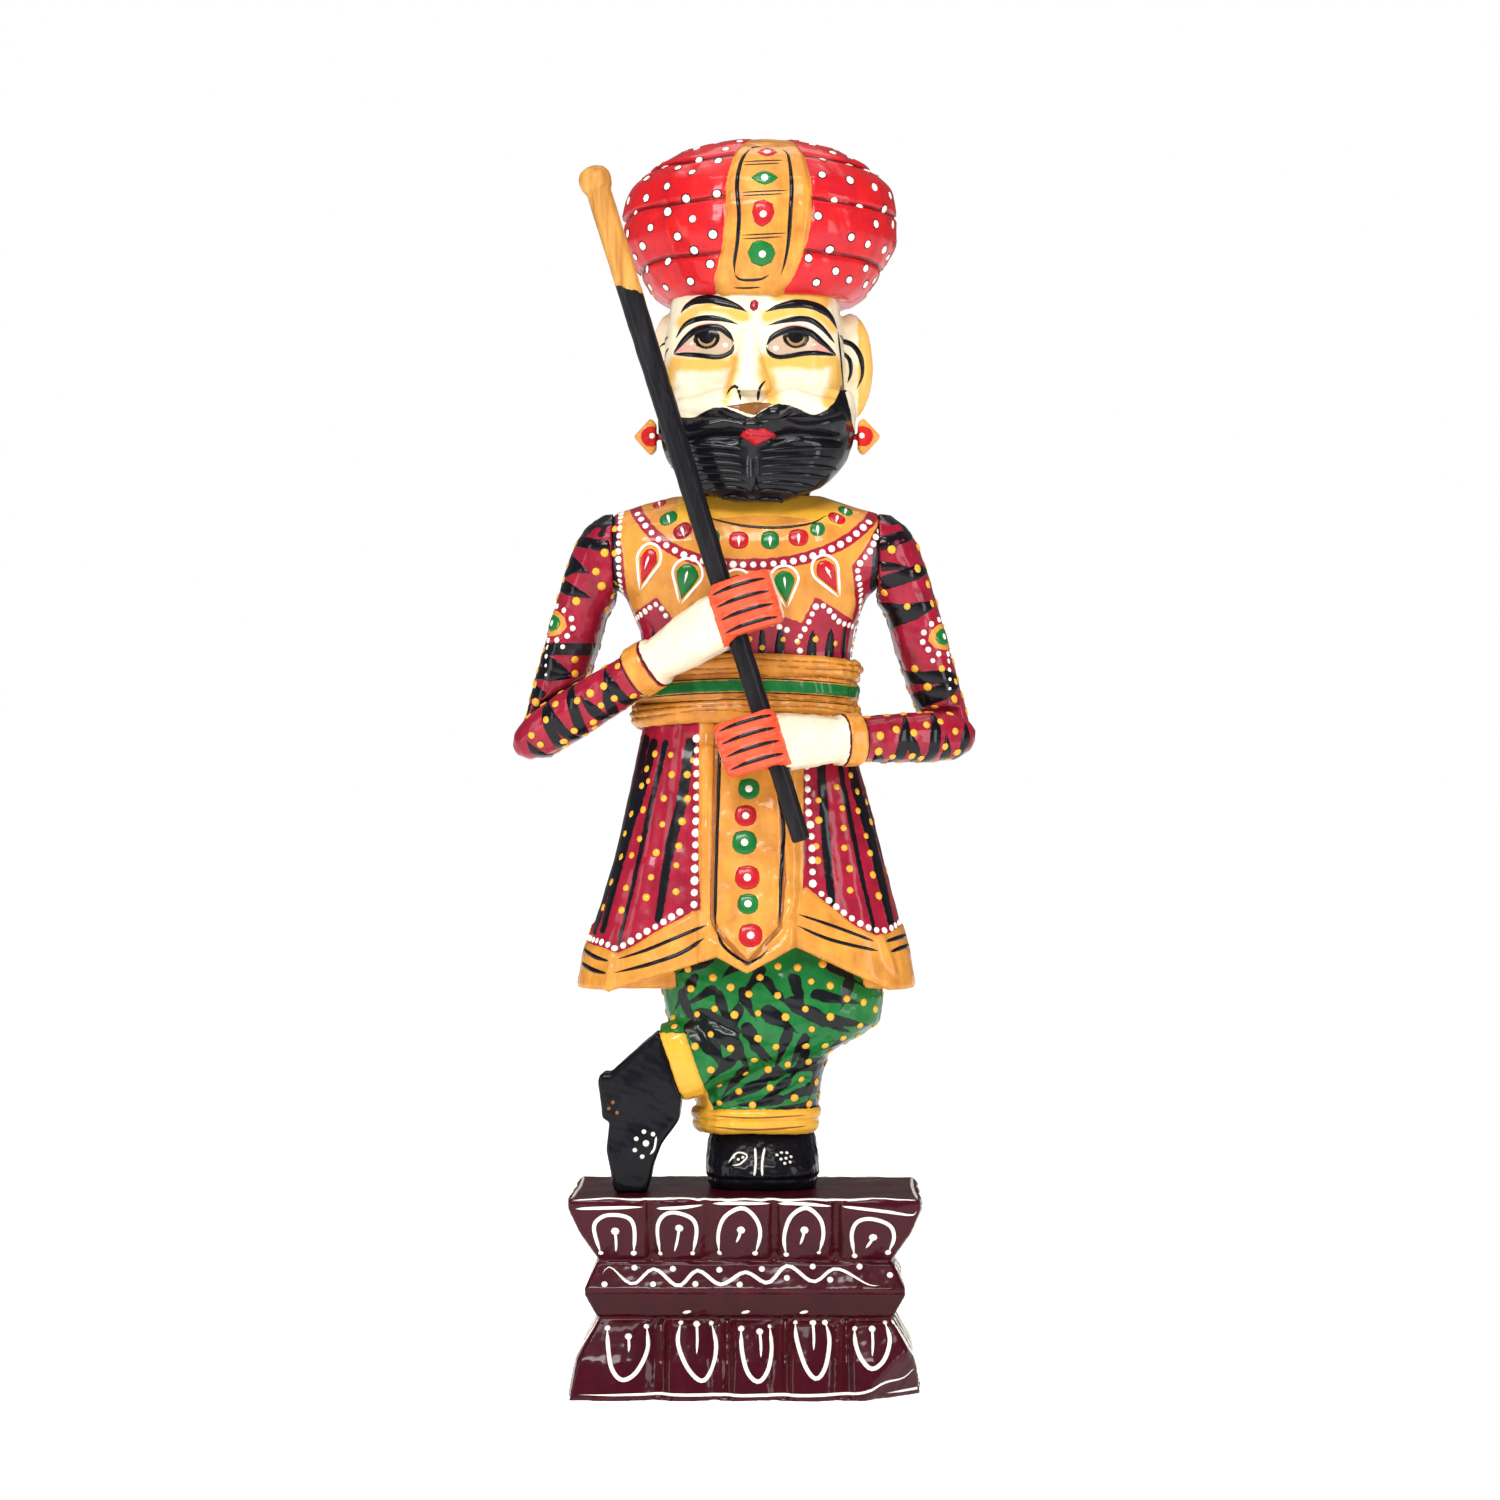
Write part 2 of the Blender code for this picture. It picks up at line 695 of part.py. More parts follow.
def make_upper_arm(name, side):
    """From the flat shoulder joint down to the elbow, where it is notched for the forearm."""
    top = NECK - ARM_TOP_DROP
    low = elbow(side).z - 0.009
    face = SHOULDER_HALF + JOINT_GAP
    rows = (
        # share of the way up, reach in and out from the arm's line, front, back
        (0.00, 0.0060, 0.0050, 0.000, 0.0200),
        (0.05, 0.0091, 0.0104, 0.006, 0.0240),
        (0.15, 0.0113, 0.0127, 0.010, 0.0262),
        (0.30, 0.0122, 0.0138, 0.013, 0.0270),
        (0.45, 0.0123, 0.0145, 0.0145, 0.0275),
        (0.58, 0.0116, 0.0152, 0.0155, 0.0280),
        (0.66, 0.0146, 0.0154, 0.0175, 0.0290),
        (0.76, 0.0233, 0.0157, 0.0205, 0.0300),
        (0.88, 0.0258, 0.0152, 0.0210, 0.0300),
        (0.95, 0.0242, 0.0123, 0.0185, 0.0280),
        (1.00, 0.0193, 0.0062, 0.0130, 0.0230),
    )
    levels = []
    for share, reach_in, reach_out, front, back in rows:
        line = ELBOW_X + share * (SHOULDER_HALF - ELBOW_X)
        inner, outer = line - reach_in, line + reach_out
        left, right = (-inner, outer) if side > 0 else (outer, -inner)
        levels.append(Level(low + share * (top - low), left, right, front, back, 2.8))
    shape = loft([level_ring(level, 20) for level in levels])
    cut = bmesh.ops.bisect_plane(
        shape,
        geom=[*shape.verts, *shape.edges, *shape.faces],
        plane_co=(side * face, 0, 0),
        plane_no=(-side, 0, 0),
        clear_outer=True,
    )
    rim = [item for item in cut["geom_cut"] if isinstance(item, bmesh.types.BMEdge)]
    bmesh.ops.contextual_create(shape, geom=rim)
    arm = add_object(name, shape, "crimson_enamel")
    # The notch: as high as the forearm, along it, and back to the lap face.
    start, end = elbow(side), fist_middle(side)
    slope = math.atan2(end.z - start.z, end.x - start.x)
    notch = bmesh.new()
    bmesh.ops.create_cube(notch, size=1)
    size = Vector((0.12, 0.10, 2 * FOREARM_HALF_HEIGHT + 0.004))
    bmesh.ops.scale(notch, vec=size, verts=notch.verts)
    place = Matrix.Translation((start.x, LAP_FACE - size.y / 2, start.z))
    bmesh.ops.transform(
        notch, matrix=place @ Matrix.Rotation(-slope, 4, "Y"), verts=notch.verts
    )
    combine(arm, add_object(name + "_notch", notch), "DIFFERENCE")
    return arm


def make_staff():
    """The tapered stick with its turned head. Its own Z axis runs up the stick from its foot."""
    shaft = STAFF_LENGTH - KNOB_LENGTH
    chamfer = STAFF_FOOT_RADIUS / 6
    profile = (
        (0.0, STAFF_FOOT_RADIUS - chamfer),
        (chamfer, shaft_radius(chamfer)),
        (shaft * 0.5, shaft_radius(shaft * 0.5)),
        (shaft, shaft_radius(shaft)),
        (shaft + KNOB_LENGTH * 0.12, STAFF_HEAD_RADIUS * 0.96),
        (shaft + KNOB_LENGTH * 0.30, KNOB_RADIUS * 0.92),
        (shaft + KNOB_LENGTH * 0.50, KNOB_RADIUS),
        (shaft + KNOB_LENGTH * 0.72, KNOB_RADIUS * 0.97),
        (shaft + KNOB_LENGTH * 0.90, KNOB_RADIUS * 0.74),
        (STAFF_LENGTH, KNOB_RADIUS * 0.30),
    )
    staff = add_object("staff", loft(turned_rings(profile)), "black_enamel")
    staff.location = staff_foot()
    staff.rotation_euler = (0, -STAFF_LEAN, 0)
    return staff


# The head and the turban


def ellipsoid(middle, radii):
    shape = bmesh.new()
    bmesh.ops.create_uvsphere(shape, u_segments=16, v_segments=10, radius=1)
    bmesh.ops.scale(shape, vec=radii, verts=shape.verts)
    bmesh.ops.translate(shape, vec=middle, verts=shape.verts)
    return shape


def make_head():
    base = NECK + JOINT_GAP
    height = BROW - base
    skull = (
        (0.00, 0.60, 0.60, 0.42, 0.70, 2.4),
        (0.12, 0.68, 0.68, 0.62, 0.78, 2.5),
        (0.25, 0.88, 0.88, 0.80, 0.90, 2.8),
        (0.38, 0.98, 0.98, 0.88, 1.00, 3.0),
        (0.58, 1.02, 1.00, 0.90, 1.03, 3.2),
        (0.80, 1.00, 0.98, 0.90, 1.02, 3.2),
        (0.92, 0.96, 0.95, 0.88, 1.00, 3.1),
        (1.00, 0.94, 0.93, 0.85, 0.97, 3.0),
    )
    levels = block_levels(skull, base, height, HEAD_HALF_WIDTH, 0.0415, (HEAD_X, 0))
    head = add_object("head", loft([level_ring(level, 28) for level in levels]), "cream_enamel")
    middle = HEAD_X + 0.001
    beard = (
        # height above the neck joint, half width, front, back
        (-0.0045, 0.013, 0.0370, -0.0250),
        (0.0000, 0.026, 0.0415, -0.0225),
        (0.0060, 0.035, 0.0440, 0.0000),
        (0.0170, 0.044, 0.0450, 0.0120),
        (0.0310, 0.0480, 0.0445, 0.0160),
        (0.0430, 0.0480, 0.0420, 0.0140),
        (0.0500, 0.0465, 0.0375, 0.0080),
    )
    beard_levels = [
        Level(base + z, half - middle, half + middle, front, back, 2.5)
        for z, half, front, back in beard
    ]
    whiskers = add_object(
        "beard", loft([level_ring(level, 24) for level in smooth_levels(beard_levels, 2)])
    )
    combine(head, whiskers, "UNION")
    for side, end in ((-1, "right"), (1, "left")):
        rows = (
            (1.0, -0.0425, 0.0375, 0.0030, 0.0030),
            (7.0, -0.0435, 0.0400, 0.0052, 0.0042),
            (17.0, -0.0420, 0.0435, 0.0062, 0.0050),
            (28.0, -0.0385, 0.0410, 0.0052, 0.0048),
            (38.0, -0.0335, 0.0420, 0.0030, 0.0032),
        )
        stations = [
            (Vector((middle + side * x / 1000, y, base + z)), high, deep, 2.2)
            for x, y, z, high, deep in rows
        ]
        lobe = add_object("moustache_" + end, loft(limb_rings(stations, 12)))
        combine(head, lobe, "UNION")
    nose_x = 0.0018
    nose = (
        (0.0475, 0.0112, 0.0480),
        (0.0510, 0.0108, 0.0482),
        (0.0590, 0.0080, 0.0450),
        (0.0690, 0.0056, 0.0418),
        (0.0800, 0.0048, 0.0380),
    )
    nose_rings = [
        level_ring(Level(base + z, half - nose_x, half + nose_x, front, -0.03, 2.4), 12)
        for z, half, front in nose
    ]
    combine(head, add_object("nose", loft(nose_rings)), "UNION")
    ears = (("right", -0.0385, 0.0085, 0.009), ("left", 0.0510, 0.0060, 0.0115))
    for end, x, y, reach in ears:
        ear = add_object("ear_" + end, ellipsoid((x, y, base + 0.0645), (reach, 0.0055, 0.0268)))
        combine(head, ear, "UNION")
    return head


EARRING_RISE = 0.0285  # above the neck joint
EARRING_HALF = 0.0092
EARRING_REACH = 0.0118


def make_earring(name, side, head):
    """A diamond-shaped wooden stud with a round peg into the side of the jaw."""
    inner = HEAD_X + 0.001 + side * (0.0480 + JOINT_GAP)
    middle = NECK + EARRING_RISE
    outline = (
        (inner + side * 0.0006, middle + EARRING_HALF * 0.70),
        (inner + side * EARRING_REACH * 0.28, middle + EARRING_HALF),
        (inner + side * EARRING_REACH, middle),
        (inner + side * EARRING_REACH * 0.28, middle - EARRING_HALF),
        (inner + side * 0.0006, middle - EARRING_HALF * 0.70),
    )
    depth = -0.0145
    stud = add_object(name, plate(outline, depth - 0.0045, depth + 0.0045, 0.0012), "red_enamel")
    peg_start = Vector((inner + side * EARRING_REACH * 0.5, depth, middle))
    peg_end = Vector((inner - side * 0.0080, depth, middle))
    peg = add_object(name + "_peg", rod(peg_start, peg_end, PEG_RADIUS, count=12))
    combine(stud, peg, "UNION")
    room = Vector((-side * DOWEL_END_ROOM, 0, 0))
    drill([head], name + "_hole", peg_start, peg_end + room, PEG_RADIUS + DOWEL_FIT)
    return stud


def make_turban():
    base = BROW + JOINT_GAP
    shape = (
        (0.000, 0.68, 0.68, 0.84, 0.86, 2.5),
        (0.060, 0.78, 0.77, 0.92, 0.93, 2.4),
        (0.180, 0.89, 0.89, 0.98, 0.98, 2.3),
        (0.340, 0.97, 0.97, 1.02, 1.01, 2.2),
        (0.520, 1.00, 1.00, 1.02, 1.00, 2.2),
        (0.680, 0.93, 0.94, 0.95, 0.95, 2.2),
        (0.820, 0.78, 0.80, 0.80, 0.82, 2.2),
        (0.920, 0.57, 0.60, 0.58, 0.62, 2.2),
        (0.980, 0.30, 0.33, 0.32, 0.36, 2.1),
        (1.000, 0.06, 0.08, 0.06, 0.08, 2.0),
    )
    height = TURBAN_HEIGHT - JOINT_GAP
    levels = block_levels(shape, base, height, TURBAN_HALF_WIDTH, 0.0505, (TURBAN_X, 0.0045))
    rings = [level_ring(level, 32) for level in smooth_levels(levels, 1)]
    return add_object("turban", loft(rings), "red_enamel")


def make_dowels(part):
    """Every hidden dowel, with its holes in the blocks that it joins."""
    leg_x, leg_y = 0.0075, 0.0085
    dowel(
        "leg_dowel",
        [part["plinth"], part["standing_shoe"], part["legs"]],
        (leg_x, leg_y, PLINTH_HEIGHT - 0.030),
        (leg_x, leg_y, SHOE_TOP + 0.028),
        DOWEL_RADIUS,
    )
    toe = Vector((ANKLE_X - 0.0190, SHIN_FRONT, PLINTH_HEIGHT))
    dowel(
        "toe_dowel",
        [part["plinth"], part["crossed_shoe"]],
        toe - Vector((0, 0, 0.015)),
        toe + Vector((0, 0, 0.018)),
        PEG_RADIUS * 1.4,
    )
    ankle, outward, _ = ankle_frame()
    dowel(
        "ankle_dowel",
        [part["legs"], part["crossed_shoe"]],
        ankle - outward * 0.016,
        ankle + outward * 0.014,
        SMALL_DOWEL_RADIUS,
    )
    dowel(
        "hip_dowel",
        [part["legs"], part["skirt"]],
        (0.010, 0.002, HIP_TOP - 0.020),
        (0.010, 0.002, HIP_TOP + 0.022),
        DOWEL_RADIUS,
    )
    for side, end in ((-1, "right"), (1, "left")):
        across = side * WAIST_HALF_WIDTH * 0.5
        dowel(
            "waist_dowel_" + end,
            [part["skirt"], part["torso"]],
            (across, 0.003, WAIST - 0.020),
            (across, 0.003, WAIST + 0.020),
            DOWEL_RADIUS,
        )
        shoulder = NECK - ARM_TOP_DROP - 0.020
        dowel(
            "shoulder_dowel_" + end,
            [part["torso"], part["arm_" + end]],
            (side * (SHOULDER_HALF - 0.020), 0.006, shoulder),
            (side * (SHOULDER_HALF + 0.013), 0.006, shoulder),
            SHOULDER_DOWEL_RADIUS,
        )
        bend = elbow(side)
        dowel(
            "elbow_dowel_" + end,
            [part["arm_" + end], part["forearm_" + end]],
            (bend.x, LAP_FACE - 0.014, bend.z),
            (bend.x, LAP_FACE + 0.018, bend.z),
            SMALL_DOWEL_RADIUS,
        )
    for name, pieces, level in (
        ("neck_dowel", [part["torso"], part["head"]], NECK),
        ("turban_dowel", [part["head"], part["turban"]], BROW),
    ):
        dowel(
            name,
            pieces,
            (HEAD_X, 0.004, level - 0.020),
            (HEAD_X, 0.004, level + 0.020),
            DOWEL_RADIUS,
        )


def main():
    clear_scene()
    make_materials()
    part = {
        "plinth": make_plinth(),
        "standing_shoe": make_standing_shoe(),
        "legs": make_legs(),
        "crossed_shoe": make_crossed_shoe(),
        "skirt": make_skirt(),
        "sash": make_sash(),
        "torso": make_torso(),
        "head": make_head(),
        "turban": make_turban(),
        "arm_right": make_upper_arm("upper_arm_right", -1),
        "arm_left": make_upper_arm("upper_arm_left", 1),
        "forearm_right": make_forearm("forearm_right", -1),
        "forearm_left": make_forearm("forearm_left", 1),
        "staff": make_staff(),
    }
    make_earring("earring_right", -1, part["head"])
    make_earring("earring_left", 1, part["head"])
    make_dowels(part)


main()
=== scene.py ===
"""The looks of a carved and enamelled guard figure with a staff, on a lotus plinth.

Each block of wood is carved finer than its plain solid: it is cut from that solid, rounded, grooved and
roughened, and its large fields of colour are painted as attributes. The fine work, the dots, lines and drops
that a brush leaves standing on the wood, is closed dabs of paint laid on the carved surface.

Lengths given to the carving and painting calls are millimetres. "right" and "left" are the figure's own.
"""

import math
import random

import bmesh
import bpy
import numpy as np
from mathutils import Matrix, Vector
from mathutils.bvhtree import BVHTree


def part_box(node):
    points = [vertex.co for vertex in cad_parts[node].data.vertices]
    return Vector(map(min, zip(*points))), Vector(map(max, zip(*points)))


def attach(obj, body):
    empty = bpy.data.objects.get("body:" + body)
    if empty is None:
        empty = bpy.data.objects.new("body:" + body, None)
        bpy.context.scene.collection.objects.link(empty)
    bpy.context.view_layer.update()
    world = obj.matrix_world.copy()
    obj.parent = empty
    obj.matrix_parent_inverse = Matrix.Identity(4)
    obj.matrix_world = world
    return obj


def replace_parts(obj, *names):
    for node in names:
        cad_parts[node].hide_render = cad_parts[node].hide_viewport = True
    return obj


MM = 0.001
UP = Vector((0, 0, 1))
FIGURE = "figure"
STAFF = "staff"

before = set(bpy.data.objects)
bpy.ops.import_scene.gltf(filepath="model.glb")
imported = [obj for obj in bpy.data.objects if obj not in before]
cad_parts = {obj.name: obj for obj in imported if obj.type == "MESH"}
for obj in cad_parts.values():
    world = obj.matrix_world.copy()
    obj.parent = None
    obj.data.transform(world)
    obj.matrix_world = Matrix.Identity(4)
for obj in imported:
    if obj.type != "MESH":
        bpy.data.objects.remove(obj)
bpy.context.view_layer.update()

# Places that the painting is measured from, read from the frame
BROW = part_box("turban")[0][2]
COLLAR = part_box("head")[0][2] + 0.0079
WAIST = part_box("torso")[0][2]
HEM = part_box("coat_skirt")[0][2]
PANEL_FOOT = HEM + 0.0024
SHOE_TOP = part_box("standing_shoe")[1][2]
PLINTH_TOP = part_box("plinth")[1][2]

CREAM = (0.75, 0.66, 0.49)
IVORY = (0.86, 0.82, 0.74)
YELLOW = (0.72, 0.38, 0.030)
GOLD = (0.66, 0.28, 0.045)
DEEP_GOLD = (0.33, 0.105, 0.014)
RED = (0.56, 0.012, 0.012)
DEEP_RED = (0.23, 0.004, 0.006)
CRIMSON = (0.33, 0.010, 0.032)
DEEP_CRIMSON = (0.11, 0.003, 0.010)
ORANGE = (0.78, 0.095, 0.035)
PINK = (0.75, 0.30, 0.25)
GREEN = (0.008, 0.155, 0.030)
DEEP_GREEN = (0.004, 0.060, 0.014)
BLACK = (0.004, 0.004, 0.006)
WORN_BLACK = (0.03, 0.02, 0.03)
MAROON = (0.050, 0.003, 0.008)
DEEP_MAROON = (0.022, 0.002, 0.004)
BROWN = (0.17, 0.065, 0.018)


# Shader maths


class Term:
    """A number that changes over a surface. Arithmetic on it adds Math nodes."""

    def __init__(self, finish, socket):
        self.finish = finish
        self.socket = socket

    def maths(self, operation, *values, clamp=False):
        return self.finish.node(
            "ShaderNodeMath",
            {"operation": operation, "use_clamp": clamp},
            dict(enumerate(values)),
        )

    def __add__(self, other):
        return self.maths("ADD", self, other)

    def __sub__(self, other):
        return self.maths("SUBTRACT", self, other)

    def __rsub__(self, other):
        return self.maths("SUBTRACT", other, self)

    def __mul__(self, other):
        return self.maths("MULTIPLY", self, other)

    def __truediv__(self, other):
        return self.maths("DIVIDE", self, other)

    def __rtruediv__(self, other):
        return self.maths("DIVIDE", other, self)

    __radd__ = __add__
    __rmul__ = __mul__

    def rise(self, start, end):
        """0 below start, 1 above end, and straight between."""
        return self.maths("MULTIPLY_ADD", self, 1 / (end - start), -start / (end - start), clamp=True)


class Finish:
    """One finish: a material and the calls that add its nodes."""

    def __init__(self, name, roughness, coat, speckle=1.0, gleam=0.12):
        self.material = bpy.data.materials.new(name)
        self.material.use_nodes = True
        self.tree = self.material.node_tree
        self.shader = self.tree.nodes["Principled BSDF"]
        self.shader.inputs["Coat Roughness"].default_value = 0.10
        self.shader.inputs["Specular IOR Level"].default_value = gleam
        self.shader.inputs["Coat Weight"].default_value = coat
        self.roughness = roughness
        self.speckle = speckle
        self.place = self.node("ShaderNodeTexCoord", {}, {}, "Object")

    def node(self, kind, settings, values, output=0):
        made = self.tree.nodes.new(kind)
        for name, value in settings.items():
            setattr(made, name, value)
        for key, value in values.items():
            if isinstance(value, Term):
                self.tree.links.new(value.socket, made.inputs[key])
            elif isinstance(value, tuple) and len(made.inputs[key].default_value) == 4:
                made.inputs[key].default_value = (*value, 1)
            else:
                made.inputs[key].default_value = value
        return Term(self, made.outputs[output])

    def scaled(self, scale):
        return self.node("ShaderNodeMapping", {}, {"Vector": self.place, "Scale": scale})

    def noise(self, size, detail=3.0, rough=0.55, stretch=(1, 1, 1)):
        """Noise from 0 to 1 with features of about this many millimetres."""
        vector = self.scaled(stretch) if stretch != (1, 1, 1) else self.place
        values = {"Vector": vector, "Scale": 1000 / size, "Detail": detail, "Roughness": rough}
        return self.node("ShaderNodeTexNoise", {}, values)

    def attribute(self, name):
        return self.node("ShaderNodeAttribute", {"attribute_name": name}, {}, "Fac")

    def blend(self, mask, under, over):
        """A colour that turns from under to over where the mask rises to 1."""
        values = {0: mask, 6: under, 7: over}
        return self.node("ShaderNodeMix", {"data_type": "RGBA"}, values, 2)

    def link(self, term, name):
        self.tree.links.new(term.socket, self.shader.inputs[name])

    def surface(self, colour, height, depth=0.35):
        """Links the colour, and the brushed, speckled relief that every enamel here has."""
        grain = self.noise(1.1, 2, 0.7)
        brushed = self.noise(6, 3, 0.6, (1, 1, 0.22))
        self.link(colour, "Base Color")
        relief = height + grain * (0.10 * self.speckle) + brushed * 0.18
        bump = self.node(
            "ShaderNodeBump", {}, {"Strength": depth, "Distance": 0.0011, "Height": relief}
        )
        self.link(bump, "Normal")
        patches = self.noise(14, 2)
        self.link(patches * 0.16 + grain * 0.10 + (self.roughness - 0.13), "Roughness")
        return self.material


def enamel(name, colour, deep, fields=(), mottle=0.5, roughness=0.30, coat=0.28, **more):
    """Gloss enamel on wood. A field is (attribute, colour, deep colour), painted over those before it."""
    finish = Finish(name, roughness, coat, **more)
    broad = finish.noise(11, 3)
    streaks = finish.noise(5, 4, 0.65, (1, 1, 0.16))
    uneven = (broad * 0.6 + streaks * 0.4).rise(0.38, 0.68) * mottle
    wobble = (finish.noise(3.2, 2) - 0.5) * 1.3
    painted = finish.blend(uneven, colour, deep)
    edge = None
    for attribute, over, over_deep in fields:
        mask = (finish.attribute(attribute) + wobble).rise(-0.16, 0.16)
        painted = finish.blend(mask, painted, finish.blend(uneven, over, over_deep))
        edge = mask if edge is None else edge + mask
    height = edge * 0.35 if edge else streaks * 0.05
    return finish.surface(painted, height)


# Outlines and routes


def curve(points, steps=6, closed=False):
    """More places on a smooth curve through the points given."""
    points = [np.array(point, float) for point in points]
    count = len(points)
    found = []
    for place in range(count if closed else count - 1):
        if closed:
            around = [points[(place + offset) % count] for offset in (-1, 0, 1, 2)]
        else:
            around = [points[min(max(place + offset, 0), count - 1)] for offset in (-1, 0, 1, 2)]
        a, b, c, d = around
        for step in range(steps):
            t = step / steps
            found.append(
                0.5 * (2 * b + t * (c - a + t * (2 * a - 5 * b + 4 * c - d + t * (3 * (b - c) + d - a))))
            )
    if not closed:
        found.append(points[-1])
    return [tuple(point) for point in found]


def along(points, count, closed=False):
    """This many places, evenly spaced along straight runs. Only the first three columns are lengths."""
    points = np.array(points, float)
    if closed:
        points = np.vstack([points, points[:1]])
    runs = np.linalg.norm(np.diff(points[:, :3], axis=0), axis=1)
    total = np.concatenate([[0], np.cumsum(runs)])
    wanted = np.linspace(0, total[-1], count + 1)[:-1] if closed else np.linspace(0, total[-1], count)
    columns = [np.interp(wanted, total, points[:, column]) for column in range(points.shape[1])]
    return [tuple(row) for row in np.column_stack(columns)]


def ellipse(middle, width, height, start=0, end=360, count=16):
    """Places on an arc of an ellipse. Angles are in degrees, from the right, turning upwards."""
    closed = abs(end - start) >= 360
    angles = np.radians(np.linspace(start, end, count, endpoint=not closed))
    return [
        (middle[0] + width / 2 * math.cos(angle), middle[1] + height / 2 * math.sin(angle))
        for angle in angles
    ]


def placed(shape, middle, width, height, lean=0):
    """An outline drawn round 0, now scaled, leaned by some degrees and moved to its middle."""
    cosine, sine = math.cos(math.radians(lean)), math.sin(math.radians(lean))
    return [
        (
            middle[0] + x * width * cosine - z * height * sine,
            middle[1] + x * width * sine + z * height * cosine,
        )
        for x, z in shape
    ]


def drop(middle, width, height, lean=0):
    """A drop's outline, its point down."""
    shape = ((0, -0.62), (0.28, -0.18), (0.46, 0.14), (0.30, 0.42), (0, 0.5))
    shape += tuple((-x, z) for x, z in reversed(shape[1:-1]))
    return placed(shape, middle, width, height, lean)


LENS = (
    (-0.5, 0), (-0.25, 0.38), (0, 0.5), (0.25, 0.36), (0.5, 0), (0.25, -0.38), (0, -0.5), (-0.25, -0.36),
)
BLOB = (
    (-0.98, -0.35), (-1, 0.3), (-0.72, 0.82), (0, 1), (0.7, 0.85), (1, 0.25), (0.95, -0.4), (0.6, -0.9),
    (0, -1), (-0.66, -0.86),
)


def distance_to_route(across, height, route):
    """How far each place is from an open route."""
    nearest = np.full(across.shape, np.inf)
    for (ax, az), (bx, bz) in zip(route, route[1:]):
        run_x, run_z = bx - ax, bz - az
        length = run_x * run_x + run_z * run_z + 1e-12
        share = np.clip(((across - ax) * run_x + (height - az) * run_z) / length, 0, 1)
        nearest = np.minimum(nearest, np.hypot(across - ax - share * run_x, height - az - share * run_z))
    return nearest


def distance_inside(across, height, outline):
    """How far each place is inside a closed outline: below 0 outside it."""
    outline = [tuple(point) for point in outline]
    outline.append(outline[0])
    inside = np.zeros(across.shape, bool)
    for (ax, az), (bx, bz) in zip(outline, outline[1:]):
        if az != bz:
            crosses = (az > height) != (bz > height)
            inside ^= crosses & (across < ax + (height - az) * (bx - ax) / (bz - az))
    nearest = distance_to_route(across, height, outline)
    return np.where(inside, nearest, -nearest)


def groove(distance, width):
    """1 at the middle of a groove, falling smoothly to 0 beyond its width."""
    return np.exp(-((distance / width) ** 2))


def lumps(places, size, seed):
    """Smooth random lumps of about this size, from -1 to 1."""
    numbers = np.random.default_rng(seed)
    total = np.zeros(len(places))
    for _ in range(7):
        wave = numbers.normal(size=3)
        wave *= 2 * math.pi / (size * np.linalg.norm(wave)) * numbers.uniform(0.6, 1.5)
        total += np.sin(places @ wave + numbers.uniform(0, 6.3))
    return total / 4


# Carved blocks


def link_object(name, data):
    made = bpy.data.objects.new(name, data)
    bpy.context.scene.collection.objects.link(made)
    return made


def link_shape(name, shape):
    """Makes a smooth object of a bmesh, and frees the bmesh."""
    mesh = bpy.data.meshes.new(name)
    shape.to_mesh(mesh)
    shape.free()
    mesh.shade_smooth()
    return link_object(name, mesh)


def dress(piece, body, slot, material):
    """Gives a piece its finish, and lets it ride on its body. The slot is not used."""
    piece.data.materials.clear()
    piece.data.materials.append(material)
    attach(piece, body)


def apply_modifiers(piece):
    depsgraph = bpy.context.evaluated_depsgraph_get()
    mesh = bpy.data.meshes.new_from_object(piece.evaluated_get(depsgraph))
    piece.modifiers.clear()
    old, piece.data = piece.data, mesh
    bpy.data.meshes.remove(old)


class Block:
    """One carved block: the fine mesh that stands for a plain node of the frame."""

    def __init__(self, node, voxel, rounding, body=FIGURE):
        self.node = node
        self.body = body
        shape = bmesh.new()
        shape.from_mesh(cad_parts[node].data)
        bmesh.ops.remove_doubles(shape, verts=shape.verts, dist=0.00001)
        self.piece = link_shape("carved_" + node, shape)
        cut = self.piece.modifiers.new("cut", "REMESH")
        cut.mode = "VOXEL"
        cut.voxel_size = voxel * MM
        rub = self.piece.modifiers.new("rub", "SMOOTH")
        rub.factor = 0.5
        rub.iterations = rounding
        apply_modifiers(self.piece)
        self.piece.data.name = "carved_" + node
        self.read()

    def read(self):
        """Reads the vertices' places, in mm, and their normals."""
        mesh = self.piece.data
        count = len(mesh.vertices)
        places = np.empty(count * 3)
        normals = np.empty(count * 3)
        mesh.vertices.foreach_get("co", places)
        mesh.vertices.foreach_get("normal", normals)
        self.places = places.reshape(-1, 3) / MM
        self.normals = normals.reshape(-1, 3)
        self.x, self.y, self.z = self.places.T

    def push(self, amounts):
        """Moves the surface out along its normals, by an amount in mm for each vertex."""
        moved = self.places + self.normals * np.asarray(amounts)[:, None]
        self.piece.data.vertices.foreach_set("co", (moved * MM).ravel())
        self.piece.data.update()
        self.read()

    def uneven(self, *waves):
        """Lumps of several sizes together. A wave is (amount, size, seed)."""
        return sum(amount * lumps(self.places, size, seed) for amount, size, seed in waves)

    def field(self, name, values):
        made = self.piece.data.attributes.new(name, "FLOAT", "POINT")
        made.data.foreach_set("value", np.asarray(values, np.float32))

    def settle(self, slot, material):
        """Ends the carving: the block takes its finish and its node's place, and can be painted on."""
        self.piece.data.shade_smooth()
        shape = bmesh.new()
        shape.from_mesh(self.piece.data)
        self.tree = BVHTree.FromBMesh(shape)
        shape.free()
        dress(self.piece, self.body, slot, material)
        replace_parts(self.piece, self.node)


